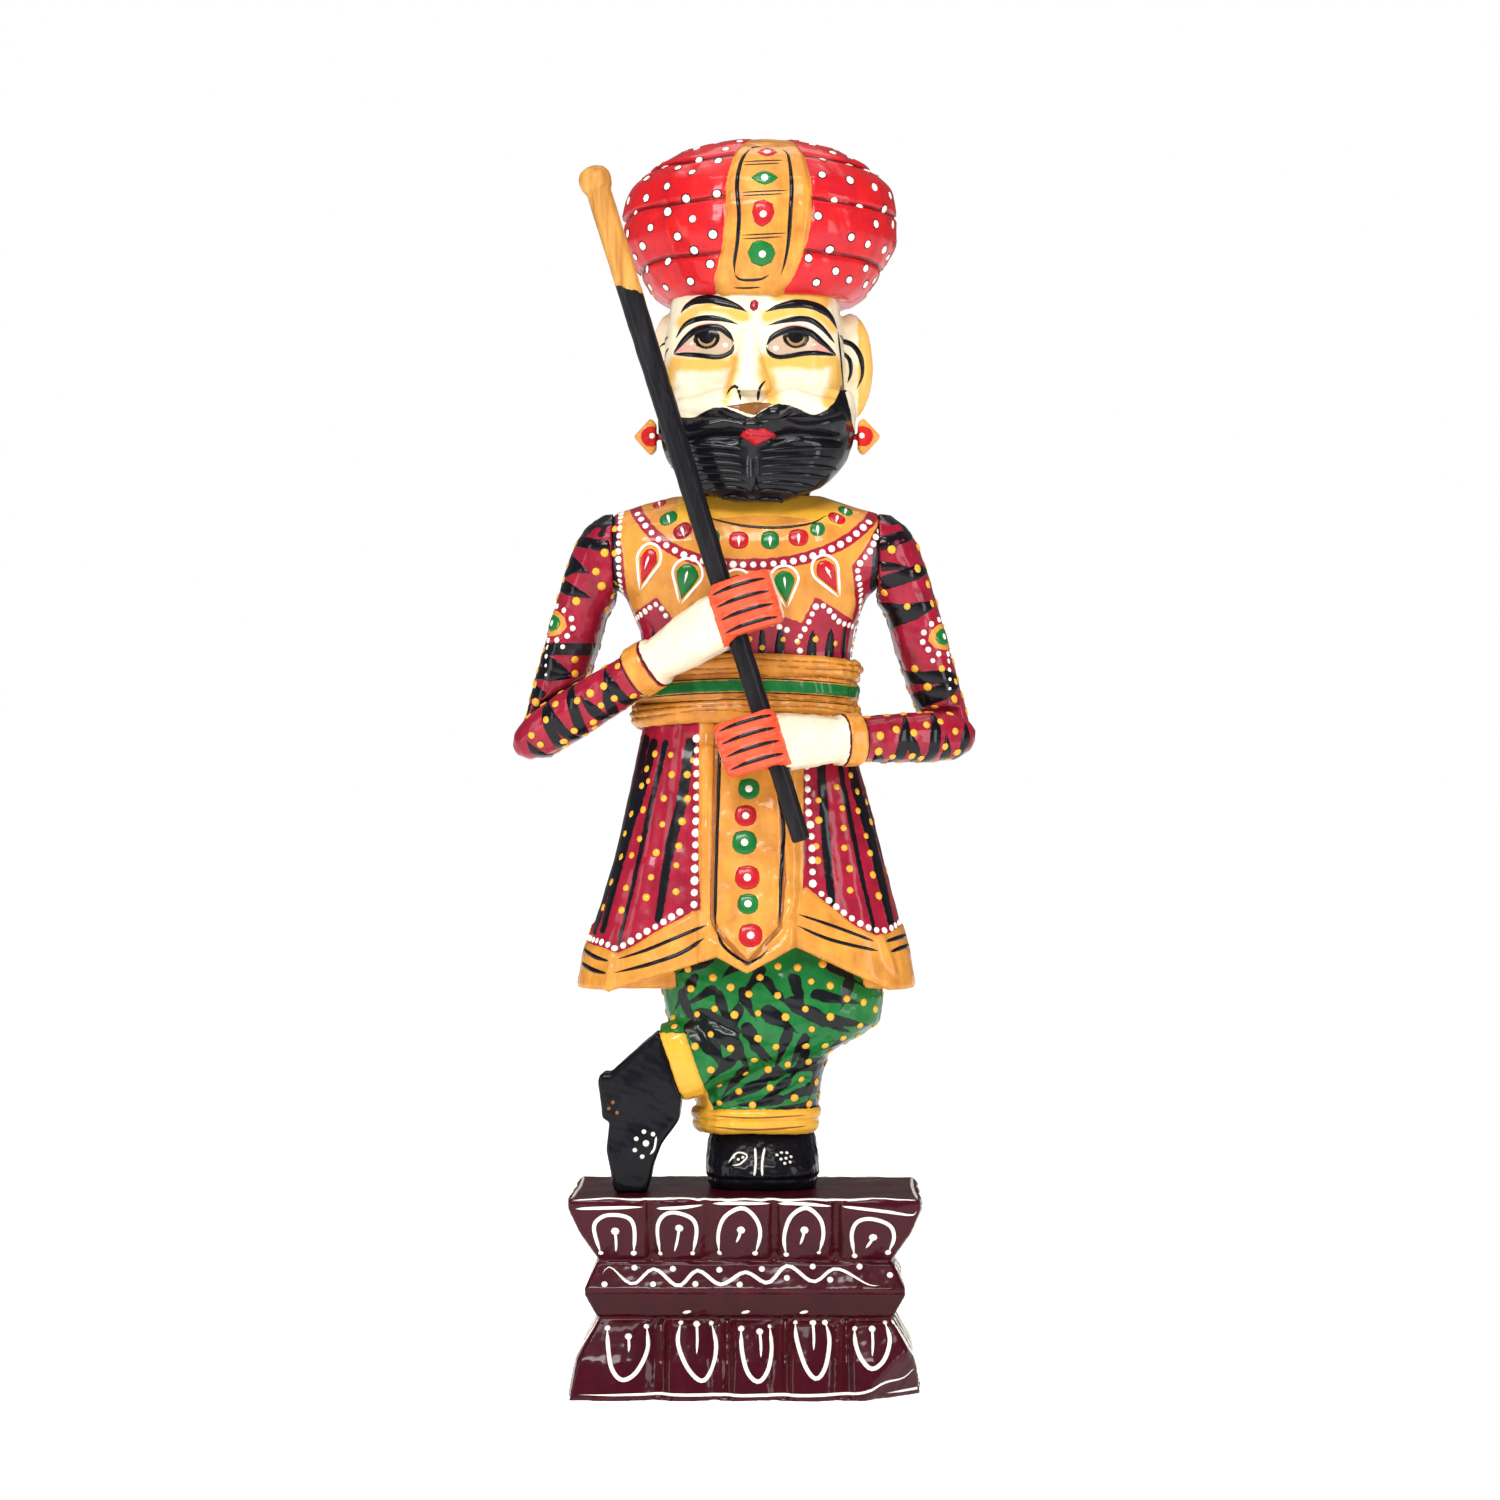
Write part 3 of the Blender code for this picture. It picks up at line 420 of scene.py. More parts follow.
class Facing:
    """Looks level at a block from one side. Places are (across, up) in mm from an origin."""

    OUTSIDE = 0.25  # further out than any block

    def __init__(self, block, up=0.0, azimuth=0, flipped=False):
        turn = math.radians(azimuth)
        self.block = block
        self.ahead = Vector((math.sin(turn), math.cos(turn), 0))
        self.across = Vector((math.cos(turn), -math.sin(turn), 0)) * (-1 if flipped else 1)
        self.origin = UP * up - self.ahead * self.OUTSIDE
        self.last = None

    def at(self, across, up):
        start = self.origin + self.across * across * MM + UP * up * MM
        hit = self.block.tree.ray_cast(start, self.ahead, 2 * self.OUTSIDE)
        if hit[0] is not None:
            self.last = hit[0], hit[1]
        return self.last or self.block.tree.find_nearest(start + self.ahead * 0.2)[:2]


class Above:
    """Looks down on the plinth. Places are (x, y) in mm. Where a groove cuts the edge, the rim is taken."""

    GROOVE = 0.002

    def __init__(self, block):
        self.block = block

    def at(self, x, y):
        hit = self.block.tree.ray_cast(Vector((x * MM, y * MM, 1)), -UP, 1)
        if hit[0] is None or hit[0].z < PLINTH_TOP - self.GROOVE:
            hit = self.block.tree.find_nearest(Vector((x * MM, y * MM * 0.98, PLINTH_TOP)))
        return hit[0], hit[1]


class Wrapping:
    """Looks in at a limb all round its axis. Places are (degrees round from the front, mm along)."""

    OUTSIDE = 0.05  # further out than a sleeve
    NEAR = 0.012  # about a sleeve's radius, where the search starts if nothing is in line

    def __init__(self, block, start, end, towards):
        self.block = block
        self.start = Vector(start)
        self.line = (Vector(end) - self.start).normalized()
        self.front = (Vector((0, -1, 0)) + self.line * self.line.y).normalized()
        side = Vector(towards)
        self.side = (side - self.line * side.dot(self.line)).normalized()

    def at(self, turn, along_line):
        angle = math.radians(turn)
        outward = self.front * math.cos(angle) + self.side * math.sin(angle)
        middle = self.start + self.line * along_line * MM
        hit = self.block.tree.ray_cast(middle + outward * self.OUTSIDE, -outward, self.OUTSIDE)
        if hit[0] is None:
            hit = self.block.tree.find_nearest(middle + outward * self.NEAR)
        return hit[0], hit[1]


# Dabs of paint


class Brush:
    """Paint of one colour standing on a block. Every dab is a round ball, drawn out and laid down."""

    BLEED = 0.56  # half of a line's width, and a little more for the rim that is in the wood
    SINK = 0.25  # how far the rim of a dab goes into the wood, so that no gap shows under it

    def __init__(self, name, block, slot, material):
        self.name = name
        self.block = block
        self.slot = slot
        self.material = material
        self.shape = bmesh.new()

    def ball(self, around, rows):
        made = bmesh.ops.create_uvsphere(self.shape, u_segments=around, v_segments=rows, radius=1)
        return made["verts"]

    def dot(self, spot, radius, rise=0.45):
        point, normal = spot
        flat = Matrix.Diagonal((radius * MM, radius * MM, rise * MM, 1))
        place = Matrix.Translation(point) @ normal.to_track_quat("Z", "Y").to_matrix().to_4x4()
        bmesh.ops.create_uvsphere(
            self.shape, u_segments=8, v_segments=4, radius=1, matrix=place @ flat
        )

    def line(self, view, route, width, ends=(1.0, 1.0), rise=0.30, straight=False):
        """A drawn line. ends are the shares of its width that it starts and stops with."""
        route = route if straight or len(route) < 3 else curve(route)
        spots = [view.at(*place) for place in along(route, max(len(route) * 2, 12))]
        length = sum((b[0] - a[0]).length for a, b in zip(spots, spots[1:])) / MM
        rows = int(min(max(length / 1.5, 5), 60))
        trace = along([(*point, *normal) for point, normal in spots], rows + 1)
        tree = self.block.tree
        stations = []
        for row, values in enumerate(trace):
            ahead = Vector(trace[min(row + 1, rows)][:3]) - Vector(trace[max(row - 1, 0)][:3])
            sideways = Vector(values[3:]).cross(ahead).normalized()
            share = row / rows
            swell = ends[0] + (1 - ends[0]) * min(1, share * 3)
            swell *= ends[1] + (1 - ends[1]) * min(1, (1 - share) * 3)
            stations.append((Vector(values[:3]), sideways, swell * width * self.BLEED))
        for vert in self.ball(8, rows):
            x, y, z = vert.co
            row = round(math.acos(max(-1.0, min(1.0, z))) / math.pi * rows)
            spread = math.hypot(x, y)
            point, sideways, half = stations[row]
            side, height = (x / spread, y / spread) if spread > 1e-4 else (0.0, 0.0)
            side = max(-1.0, min(1.0, side * 1.2))
            height = max(-1.0, min(1.0, height * 1.5))
            across = side * half * min(1.0, spread * 3)
            ground, normal, _, _ = tree.find_nearest(point + sideways * across * MM)
            lift = height * rise - 0.05 if height > 0 else height * self.SINK - 0.05
            vert.co = ground + normal * lift * MM

    def lines(self, view, drawn, rise=0.30):
        for route, width, ends in drawn:
            self.line(view, route, width, ends, rise)

    def patch(self, view, outline, rise=0.35, corners=16, rings=6):
        """A filled patch. Its outline has to be seen whole from its middle."""
        outline = along(outline, corners, closed=True)
        middle = np.mean(outline, axis=0)
        for vert in self.ball(corners, rings):
            x, y, z = vert.co
            spread = math.hypot(x, y)
            corner = round(math.atan2(y, x) / (2 * math.pi) * corners) % corners
            edge = np.array(outline[corner])
            point, normal = view.at(*(middle + (edge - middle) * spread))
            lift = math.sqrt(max(z, 0)) * rise if z > 0.01 else z * self.SINK - 0.05
            vert.co = point + normal * lift * MM

    def row(self, view, route, spacing, radius, rise=0.45, jitter=0.0):
        """Dots along a route, evenly spaced."""
        spots = [view.at(*place) for place in along(curve(route) if len(route) > 2 else route, 60)]
        lengths = np.cumsum([0] + [(b[0] - a[0]).length / MM for a, b in zip(spots, spots[1:])])
        count = max(int(round(lengths[-1] / spacing)), 1)
        rows = along([(*point, *normal) for point, normal in spots], count + 1)
        for values in rows:
            size = radius * (1 + jitter * random.uniform(-1, 1))
            self.dot((Vector(values[:3]), Vector(values[3:]).normalized()), size, rise)

    def done(self):
        bmesh.ops.recalc_face_normals(self.shape, faces=self.shape.faces)
        dress(link_shape(self.name, self.shape), self.block.body, self.slot, self.material)


def scatter(block, spacing, wanted, seed):
    """Spots strewn over a block where the wanted mask is true, no nearer than the spacing."""
    numbers = np.random.default_rng(seed)
    order = np.flatnonzero(wanted)
    numbers.shuffle(order)
    kept = np.empty((0, 3))
    spots = []
    for index in order[:6000]:
        place = block.places[index]
        if len(kept) and np.min(np.sum((kept - place) ** 2, axis=1)) < spacing**2:
            continue
        kept = np.vstack([kept, place])
        spots.append((Vector(place) * MM, Vector(block.normals[index])))
    return spots


# Finishes

random.seed(7)

PAINTS = {
    "white": (enamel("white_dots", IVORY, (0.70, 0.64, 0.52), roughness=0.28, mottle=0.3), "cream_enamel"),
    "yellow": (enamel("yellow_dots", YELLOW, GOLD, roughness=0.28), "ochre_enamel"),
    "gold": (enamel("gold_paint", GOLD, DEEP_GOLD), "ochre_enamel"),
    "black": (
        enamel("black_lines", BLACK, (0.008, 0.007, 0.009), roughness=0.28, coat=0.34, gleam=0.05),
        "black_enamel",
    ),
    "green": (enamel("green_gems", GREEN, DEEP_GREEN, roughness=0.25), "green_enamel"),
    "red": (enamel("red_gems", (0.45, 0.011, 0.018), DEEP_RED, roughness=0.25), "red_enamel"),
    "crimson": (enamel("crimson_gems", CRIMSON, DEEP_CRIMSON, roughness=0.25), "crimson_enamel"),
    "pink": (enamel("pink_paint", PINK, (0.60, 0.16, 0.13)), "red_enamel"),
    "bronze": (
        enamel("iris_bronze", (0.34, 0.19, 0.06), (0.20, 0.10, 0.03), roughness=0.35), "ochre_enamel",
    ),
    "brown": (enamel("brown_paint", BROWN, DEEP_GOLD, roughness=0.35), "ochre_enamel"),
    "eye": (enamel("eye_white", (0.44, 0.31, 0.21), (0.56, 0.44, 0.31), roughness=0.35), "cream_enamel"),
}


class Palette:
    """The brushes for one block, made as they are first used."""

    def __init__(self, block, prefix):
        self.block = block
        self.prefix = prefix
        self.brushes = {}

    def __getattr__(self, colour):
        if colour not in self.brushes:
            material, slot = PAINTS[colour]
            name = self.prefix + "_" + colour
            self.brushes[colour] = Brush(name, self.block, slot, material)
        return self.brushes[colour]

    def done(self):
        for brush in self.brushes.values():
            brush.done()


def lifted(spot, height):
    """A spot moved out of the surface by some millimetres, to stand on paint that is there already."""
    point, normal = spot
    return point + normal * height * MM, normal


# The turban


def turban_band(block):
    """How high each place is over the brow, and how far inside the raised middle band."""
    rise = block.z - BROW / MM
    middle = np.interp(rise, (1, 7, 21, 35, 66), (2.5, 4.8, 9.4, 11.3, 11.6))
    half = np.interp(rise, (0, 7, 21, 35, 50, 66, 77), (16, 19, 19.9, 20.6, 20.3, 16.6, 9))
    return rise, half - np.abs(block.x - middle)


def make_turban():
    block = Block("turban", 1.1, 4)
    rise, in_band = turban_band(block)
    in_band = np.where(block.y < 6, in_band, -9)
    level = rise - lumps(block.places, 60, 3) * 1.2 + np.abs(block.x - 10) * 0.10
    folds = sum(groove(level - height, 1.3) for height in (67, 46, 20.5))
    swell = sum(groove(level - height, 8.5) for height in (57, 33.5, 8.5))
    outside = np.clip(0.5 - in_band / 2, 0, 1)
    raised = np.clip(in_band / 1.5, 0, 1) * np.clip((76 - rise) / 8, 0, 1)
    rim = groove(in_band - 3.5, 3.0)
    amount = outside * (0.5 - 1.6 * folds + 1.5 * swell) + raised * (1.7 + rim * 0.6)
    block.push(amount + block.uneven((0.25, 14, 5), (0.06, 5, 6)))
    block.field("band", in_band)
    # Painted shade: this field darkens the red paint in the carved fold grooves, where shade falls.
    block.field("fold", outside * folds * 3 - 1.7)
    finish = enamel(
        "turban_enamel",
        RED,
        (0.36, 0.006, 0.020),
        (("fold", (0.16, 0.002, 0.004), DEEP_RED), ("band", GOLD, DEEP_GOLD)),
        mottle=0.8,
    )
    block.settle("red_enamel", finish)

    palette = Palette(block, "turban")
    view = Facing(block, BROW)
    left = ((2.4, 68.8), (-1.6, 62.1), (-3.7, 49.8), (-2.7, 35.1), (-3.4, 22.8), (-5, 11.8), (-4.6, 6.3))
    right = ((17.7, 68.8), (20.8, 64.5), (22.4, 49.8), (21.8, 35.1), (20.8, 21.6), (19, 11.8), (16.8, 5.7))
    palette.black.lines(view, (
        (left, 1.8, (0.7, 0.7)),
        (((-4.8, 7), (-3, 4.8), (1, 4.2), (7.9, 4.7), (11.9, 6.9)), 1.2, (0.7, 0.3)),
        (right, 1.8, (0.5, 0.4)),
        (((2.6, 69), (5, 70.2), (8, 70)), 0.9, (0.8, 0.3)),
        (((-5.6, 1.0), (1, 0.8), (7.9, 1.2)), 0.9, (0.4, 0.4)),
    ))
    for height, start, end in ((61.8, -1.3, 19), (46, -1.8, 20.6), (25.4, -2, 20.4)):
        for drawn in (0, -1.7):
            route = ((start, height + drawn - 0.5), (8, height + drawn), (end + drawn, height + drawn + 0.6))
            palette.black.line(view, route, 0.6, (0.4, 0.4))
    heart = ((3.4, 36), (4.6, 41), (9, 42.2), (13.6, 40), (14.4, 35), (12, 30.5), (7.6, 28.4), (4.6, 31))
    gem = ((1.2, 17), (4, 22.4), (8.6, 22.8), (13.6, 20.4), (15, 16), (12.4, 11.6), (7.8, 10.2), (3, 12.2))
    for brush, outline, dot in (
        (palette.red, placed(LENS, (10.6, 66.8), 10.4, 5.4), (10.6, 66.8)),
        (palette.green, placed(LENS, (9.5, 52.9), 13.4, 7.4), (9.5, 52.9)),
        (palette.red, heart, (8.8, 35)),
        (palette.green, gem, (8.4, 16.2)),
    ):
        brush.patch(view, outline, 0.4)
        palette.white.dot(lifted(view.at(*dot), 0.3), 1.9)
    rise, in_band = turban_band(block)
    for spot in scatter(block, 10.2, ((in_band < -3) | (block.y > 9)) & (rise > 3), 11):
        size = random.uniform(1.95, 2.35)
        palette.black.dot(spot, size + 0.4, 0.15)
        palette.white.dot(spot, size, 0.65)
    palette.done()


# The head


def beard_outline():
    top = (
        (-60, -60), (-42, -61), (-30.7, -61), (-23.9, -61), (-17.8, -57.9), (-10.5, -57), (-4.3, -59.1),
        (3, -61.9), (9.1, -58.5), (16.5, -55.5), (25, -57.3), (33.6, -60.3), (40.9, -56.1), (44.6, -49.9),
        (46.6, -43), (48.2, -48), (50.5, -56), (53, -66), (60, -68), (70, -70),
    )
    return (*curve(top, 4), (70, -120), (-70, -120))


def make_head():
    block = Block("head", 0.9, 12)
    rise = block.z - BROW / MM
    x, y = block.x, block.y
    forward = np.clip(-block.normals[:, 1] * 3 - 0.9, 0, 1)
    front = np.clip((-14 - y) / 4, 0, 1) * forward
    amount = 0.2 * lumps(block.places, 14, 21)
    for middle_x in (-20, 25):
        away = np.hypot((x - middle_x) / 15.5, (rise + 24) / 7.5)
        amount += front * (-1.5 * groove(away, 1.15) + 1.3 * groove(away, 0.7))
        brow = np.hypot((x - middle_x) / 17, (rise + 8) / 4.5)
        amount += front * 1.1 * groove(brow, 1.0)
    for lobe, under in (
        (((0, -64.5), (-10, -62.5), (-24, -66), (-37, -66)), ((-3, -71), (-16, -71), (-36, -73.5))),
        (((7, -64.5), (16, -61), (28, -64.5), (43, -61)), ((14, -71.5), (22, -70), (44, -71))),
    ):
        amount += front * 2.4 * groove(distance_to_route(x, rise, curve(lobe, 4)), 4.6)
        facet = distance_to_route(x, rise, curve([(px, pz - 2.5) for px, pz in lobe], 4))
        amount += front * 3.4 * np.clip(1 - facet / 8, 0, 1)
        amount -= front * 2.6 * groove(distance_to_route(x, rise, curve(under, 4)), 2.0)
    cleft = groove(x - 3.8, 2.2) * np.clip((-75 - rise) / 6, 0, 1)
    block.push(amount - front * 1.8 * cleft)

    x, y = block.x, block.y
    rise = block.z - BROW / MM
    at_front = y < -14
    hair = distance_inside(x, rise, beard_outline())
    hair = np.where(at_front, hair, np.maximum(-66 - rise + 0.3 * (y + 14), np.minimum(y - 12, rise + 84)))
    glow = np.full(len(x), -6.0)
    for width, route in (
        (3.6, ((-34, -34), (-20, -35), (-6, -34))),
        (3.4, ((12, -34.5), (26, -34), (43, -33))),
        (2.6, ((-31, -14), (-24, -9), (-14, -8), (0, -12.5))),
        (2.6, ((10, -13), (20, -10), (32, -10), (42, -16))),
        (3.6, ((44, -36), (43.5, -46), (40, -54))),
        (2.2, ((-36.5, -36), (-36, -56))),
        (2.0, ((-9, -54), (-8, -48), (-5, -38))),
        (3.0, ((13.5, -54), (11.5, -46), (9, -34))),
        (3.6, ((16, -1), (38, -3))),
    ):
        glow = np.maximum(glow, width - distance_to_route(x, rise, curve(route, 4)))
    glow = np.where(at_front, glow, np.where(np.abs(x - 5) > 50, 1.6, -1.6))
    block.field("hair", hair)
    block.field("glow", glow)

    finish = Finish("face_enamel", 0.30, 0.3, 0.7, 0.06)
    broad = finish.noise(12, 3)
    wobble = (finish.noise(3.2, 2) - 0.5) * 1.1
    skin = finish.blend(broad.rise(0.42, 0.72) * 0.6, CREAM, (0.68, 0.55, 0.36))
    warm = (finish.attribute("glow") + (broad - 0.5) * 5).rise(-1.6, 1.4) * 0.9
    skin = finish.blend(warm, skin, (0.66, 0.35, 0.045))
    hair_mask = (finish.attribute("hair") + wobble).rise(-0.16, 0.16)
    coloured = finish.blend(hair_mask, skin, BLACK)
    finish.link(0.26 + hair_mask * 0.16, "Coat Weight")
    finish.shader.inputs["Coat Roughness"].default_value = 0.13
    block.settle("cream_enamel", finish.surface(coloured, hair_mask * 0.5))

    paint_face(block)


def paint_face(block):
    palette = Palette(block, "head")
    view = Facing(block, BROW)
    black = palette.black
    brow = (
        (-31.3, -10), (-28.5, -6.6), (-23.9, -4.2), (-16.6, -3.7), (-10.5, -5.3), (-3.1, -7.9), (1.4, -10.6),
    )
    black.lines(view, (
        (brow, 4.3, (0.25, 0.15)),
        (((9, -10.6), (16.5, -7.6), (26.3, -6), (34.8, -7.2), (40.9, -10.8), (44.4, -17)), 4.1, (0.15, 0.4)),
        (((-33.7, -21.8), (-28.8, -15.3), (-20.3, -12.9), (-10.5, -13.8), (-2.5, -16.5)), 2.5, (0.4, 0.15)),
        (((10.1, -16.9), (18.9, -14.5), (28.7, -13.2), (36, -16.3), (43.4, -24)), 2.5, (0.15, 0.5)),
    ), 0.4)
    eyes = (
        (
            ((-34.9, -29.1), (-28.8, -22.2), (-22.7, -18.3), (-12.9, -17.6), (-7.6, -21.4), (-5.2, -25)),
            ((-5.2, -25.4), (-6.8, -29.5), (-12.9, -31.8), (-22.7, -30.6), (-34.9, -29.1)),
            (-18.4, -22.7), (-29, -27.3), (-9.6, -26),
        ),
        (
            ((44, -29.7), (36, -23.3), (31, -19.8), (24, -18.4), (17.7, -19.8), (12.8, -22.6), (10.1, -26.7)),
            ((10.1, -26.7), (11, -29.3), (15.2, -31.8), (21.4, -31.3), (31.2, -29.6), (44, -29.7)),
            (24.4, -22.5), (36.6, -27), (14.8, -27.6),
        ),
    )
    for upper, lower, iris, corner, inner in eyes:
        lid = [(x, z + 1.5) for x, z in upper[1:-1]]
        palette.pink.line(view, lid, 1.6, (0.3, 0.3), 0.15)
        outline = curve(upper, 4) + curve(lower, 4)[1:-1]
        palette.eye.patch(view, outline, 0.15, 24, 8)
        palette.pink.patch(view, ellipse(corner, 12, 3.0, count=12), 0.28, 12)
        palette.white.patch(view, ellipse(inner, 3.2, 2.6, count=12), 0.2, 12)
        black.patch(view, ellipse(iris, 14, 11.4, count=16), 0.30, 20)
        ring = ellipse((iris[0], iris[1] + 1), 8.4, 8.6, 178, 362, 9)
        palette.bronze.line(view, ring, 1.3, (0.5, 0.5), 0.5)
        black.line(view, upper, 3.2, (0.4, 0.6), 0.5)
        black.line(view, lower, 2.2, (0.8, 0.35), 0.42)
    palette.crimson.line(view, ((4.8, -4), (4.4, -7), (3.8, -10)), 3.8, (0.6, 0.7), 0.3)
    black.line(view, ((-9, -51.8), (-7, -48.1), (-4.3, -46.9), (-2.8, -49.3), (-1.9, -54.2)), 1.4, (0.3, 0.8))
    black.line(view, ((10.1, -43.8), (6.9, -48.4), (6.2, -53.6)), 1.4, (0.3, 0.8))
    shade = ((-9.2, -56.5), (-3.1, -55.6), (4.2, -54), (14.6, -55.3), (9.1, -58.3), (3.6, -61), (-3.1, -58.7))
    palette.brown.patch(view, shade, 0.5, 14)
    mouth = (
        (-2.8, -70.1), (1.8, -67.1), (4.8, -68), (9.1, -66.8), (15.9, -70.1), (9.6, -73), (4.8, -75.4),
        (1.2, -72.8),
    )
    palette.red.patch(view, mouth, 1.3, 18, 8)
    palette.crimson.line(view, ((0, -70), (5, -69.8), (8, -70.4), (13, -70.1)), 0.7, (0.3, 0.3), 1.45)
    strands(black, view)
    black.lines(view, (
        (((44.6, -17), (46.2, -30), (46.9, -38), (48, -50)), 2.2, (0.8, 1)),
        (((45.4, -19.4), (52, -21.6), (56.2, -27.9), (56.9, -36.5), (53.8, -43.8)), 2.4, (0.7, 0.2)),
        (((47.5, -25.8), (50.7, -29.1), (51.3, -35.3), (49.5, -40.8)), 1.9, (0.5, 0.4)),
        (((-37.4, -20), (-40.5, -20.6), (-43.4, -23)), 1.6, (0.7, 0.3)),
        (((-37, -25.5), (-39, -27.4), (-40.8, -31)), 1.5, (0.7, 0.3)),
    ))
    palette.done()


def strands(black, view):
    """The locks of the beard, standing up as they are carved."""
    middle = 3.8
    for side in (-1, 1):
        droop = -1.5 if side > 0 else 0.0
        for number in range(7):
            start = (middle + side * 1.6, -78 - number * 3.7)
            bend = (middle + side * 13, -75.6 - number * 3.9 + droop)
            reach = 41 - max(number - 2, 0) * 4.6
            end = (middle + side * reach, -74 - number * 4.7 + droop)
            black.line(view, (start, bend, end), 2.5, (0.3, 0.2), 1.1)


def make_earrings():
    for end, side in (("right", -1), ("left", 1)):
        block = Block("earring_" + end, 0.6, 2)
        low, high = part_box("earring_" + end)
        middle_z = (low[2] + high[2]) / 2 / MM
        inner = (high[0] if side < 0 else low[0]) / MM
        shown = inner + side * 9
        block.push(0.08 * lumps(block.places, 4, 31))
        block.field("field", 4.9 - np.hypot(block.x - shown - side * 2.2, block.z - middle_z))
        finish = enamel("earring_enamel_" + end, GOLD, DEEP_GOLD, (("field", RED, DEEP_RED),))
        block.settle("red_enamel", finish)
        palette = Palette(block, "earring_" + end)
        view = Facing(block, middle_z * MM)
        palette.white.dot(view.at(shown + side * 1.6, 0.3), 1.5)
        palette.done()


# The torso


BIB = (
    (-66, 12), (-62, -13.5), (-59.3, -33.4), (-57.8, -50.2), (-55, -60.9), (-42.8, -53.5), (-34.1, -65.4),
    (-24.2, -56), (-10.4, -68.5), (3.3, -57), (27, -66.2), (33.8, -53.5), (51.8, -63.9), (53.4, -56.3),
    (51.4, -38.7), (58.2, -29.6), (63.6, -19.6), (66.6, -12), (66, 12),
)
RING = (
    (-56, -4), (-52.4, -12.8), (-47.8, -19.6), (-43, -24.7), (-37.9, -28.8), (-32.6, -31.9), (-25.7, -34.8),
    (-17, -36.9), (-8.2, -37.9), (0.2, -38.2), (9.4, -38), (20.1, -37), (29.2, -34.9), (36.9, -32.4),
    (44.5, -29), (50.6, -25.4), (55.2, -21.5), (59.8, -17), (64, -10),
)


def make_torso():
    block = Block("torso", 1.0, 4)
    x = block.x
    rise = block.z - COLLAR / MM
    bib = distance_inside(x, rise, BIB)
    ring = 2.9 - distance_to_route(x, rise, RING)
    patch = 4.0 - distance_to_route(np.abs(x), rise, ((68, -6), (66, -30), (64, -48)))
    neck = rise + 14 + 0.004 * (x - 8) ** 2
    uneven = block.uneven((0.22, 18, 41), (0.06, 6, 42))
    block.push(0.35 * np.clip(bib + 0.5, 0, 1) + uneven)
    block.field("bib", bib)
    block.field("ring", ring)
    block.field("patch", patch)
    block.field("neck", np.minimum(neck, 40 - np.abs(x - 7)))
    finish = enamel(
        "coat_chest_enamel",
        CRIMSON,
        DEEP_CRIMSON,
        (
            ("patch", BLACK, WORN_BLACK),
            ("bib", GOLD, DEEP_GOLD),
            ("ring", CRIMSON, DEEP_CRIMSON),
            ("neck", YELLOW, GOLD),
        ),
        mottle=0.6,
    )
    block.settle("crimson_enamel", finish)
    for side, azimuth in (("front", 0), ("back", 180)):
        paint_chest(Palette(block, "chest_" + side), Facing(block, COLLAR, azimuth, azimuth == 180))


